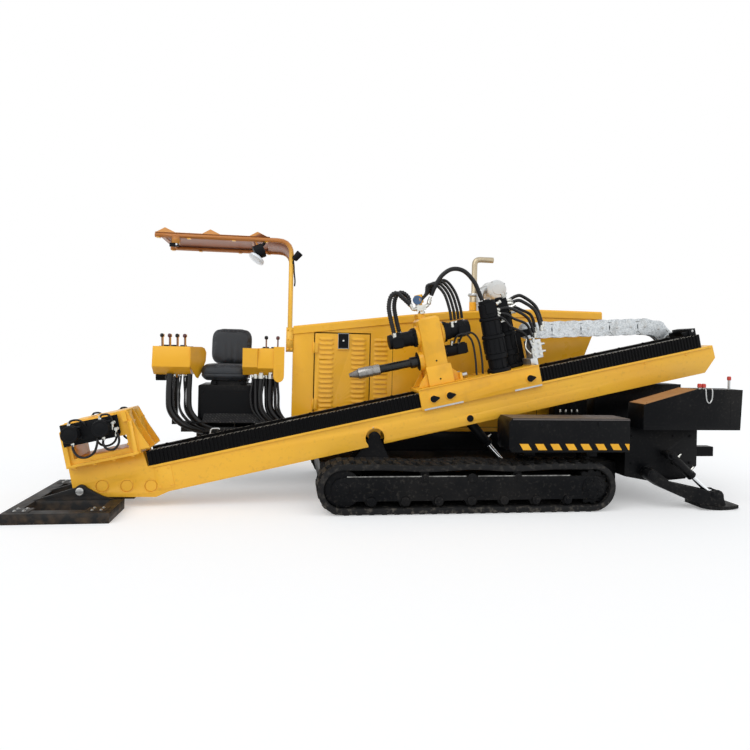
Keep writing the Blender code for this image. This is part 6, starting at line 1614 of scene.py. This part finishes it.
for x in (2.452, 2.5):
    rear_rods.append(turned((x, -1.055, REAR_TOP), UP, [(0.0, 0.016), (0.022, 0.016)], 14))
    rear_caps.append(turned((x, -1.055, REAR_TOP + 0.021), UP,
                            [(0.0, 0.019), (0.004, 0.022), (0.034, 0.022), (0.042, 0.015)], 18))
# The U-bolt hangs over the near box's top edge.
rear_rods.append(pipe_along([(2.492, -1.075, 1.264), (2.492, -1.098, 1.258), (2.493, -1.104, 1.2), (2.503, -1.104, 1.145),
                             (2.529, -1.104, 1.118), (2.555, -1.104, 1.145), (2.565, -1.104, 1.2), (2.566, -1.098, 1.258),
                             (2.566, -1.075, 1.264)], 0.0065))
rear_rods.append(turned((2.835, -1.0, REAR_TOP), UP, [(0.0, 0.02), (0.01, 0.02), (0.012, 0.013), (0.105, 0.013)], 14))
rear_caps.append(turned((2.835, -1.0, REAR_TOP + 0.1), UP, [(0.0, 0.017), (0.004, 0.02), (0.034, 0.02), (0.042, 0.014)], 18))
stub = block((2.57, -0.83, 0.515), (2.8, -0.72, 0.62))
piece("rear_tow_stub", on_machine(stub), BLACK, "chassis", bevel=0.004)
piece("sloped_plates", on_machine(*slopes), SLOPED_TOP_BROWN, "chassis", bevel=0.001)
piece("rear_pins", on_machine(*rear_rods), STEEL, "chassis", sharp=30)
piece("red_caps", on_machine(*rear_caps), RED, "chassis", sharp=30)
piece("rear_box_joints", on_machine(*seams), CAST, "chassis")
rear_bolts = [copies(fastener(0.012, 0.011, (0, sign, 0)),
                     [(x, sign * 0.86, z) for x in (1.82, 2.3, 2.5) for z in (0.45, 0.74)])
              for sign in (-1, 1)]
rear_bolts.append(copies(fastener(0.012, 0.011, REARWARD),
                         [(2.58, y, z) for y in (-0.83, 0.0, 0.4, 0.8) for z in (0.47, 0.78)]))
piece("rear_body_bolts", on_machine(*rear_bolts), BLACK, "chassis")
pump_bits = [copies(fastener(0.01, 0.009, NEARWARD), [(x, -0.1, z) for x in (1.33, 1.67) for z in (0.62, 0.84, 1.08)]),
             turned((1.5, -0.098, 0.98), NEARWARD, [(0.0, 0.06), (0.01, 0.06), (0.013, 0.05), (0.013, 0.02), (0.022, 0.02)])]
HOSE_X = 1.36 + 0.07 * np.arange(4)
pump_hoses = [pipe_along([(x, -0.105, 0.9), (x, -0.107, 0.86), (x + 0.01, -0.107, 0.76), (x + 0.04, -0.106, 0.64)],
                         0.008, 10, 7) for x in HOSE_X]
pump_ends = [fitting((x, -0.11, 0.945), (0, -0.1, -1), 0.01) for x in HOSE_X]
piece("pump_box_bolts", on_machine(*pump_bits), CAST, "chassis", sharp=30)
piece("pump_box_hoses", on_machine(*pump_hoses), HOSE, "chassis", sharp=80)
piece("pump_box_fittings", on_machine(*pump_ends), SHINE, "chassis", sharp=30)

# Stabiliser legs: black curved arms cut from plate, with ski feet; each turns on a thick pin in the rear body.
# A thin pin holds its foot, and both have turned heads.
for side, sign in (("near", -1), ("far", 1)):
    pins = [turned((x, sign * 1.055, z), (0, sign, 0),
                   [(-0.002, r), (0.006, r), (0.008, r - 0.005), (0.008, 0.01), (0.013, 0.008)], 20)
            for x, z, r in ((2.64, 0.155, 0.02), (1.95, 0.36, 0.045))]
    piece(f"leg_pins_{side}", on_machine(*pins), CAST, f"leg_{side}", sharp=30)
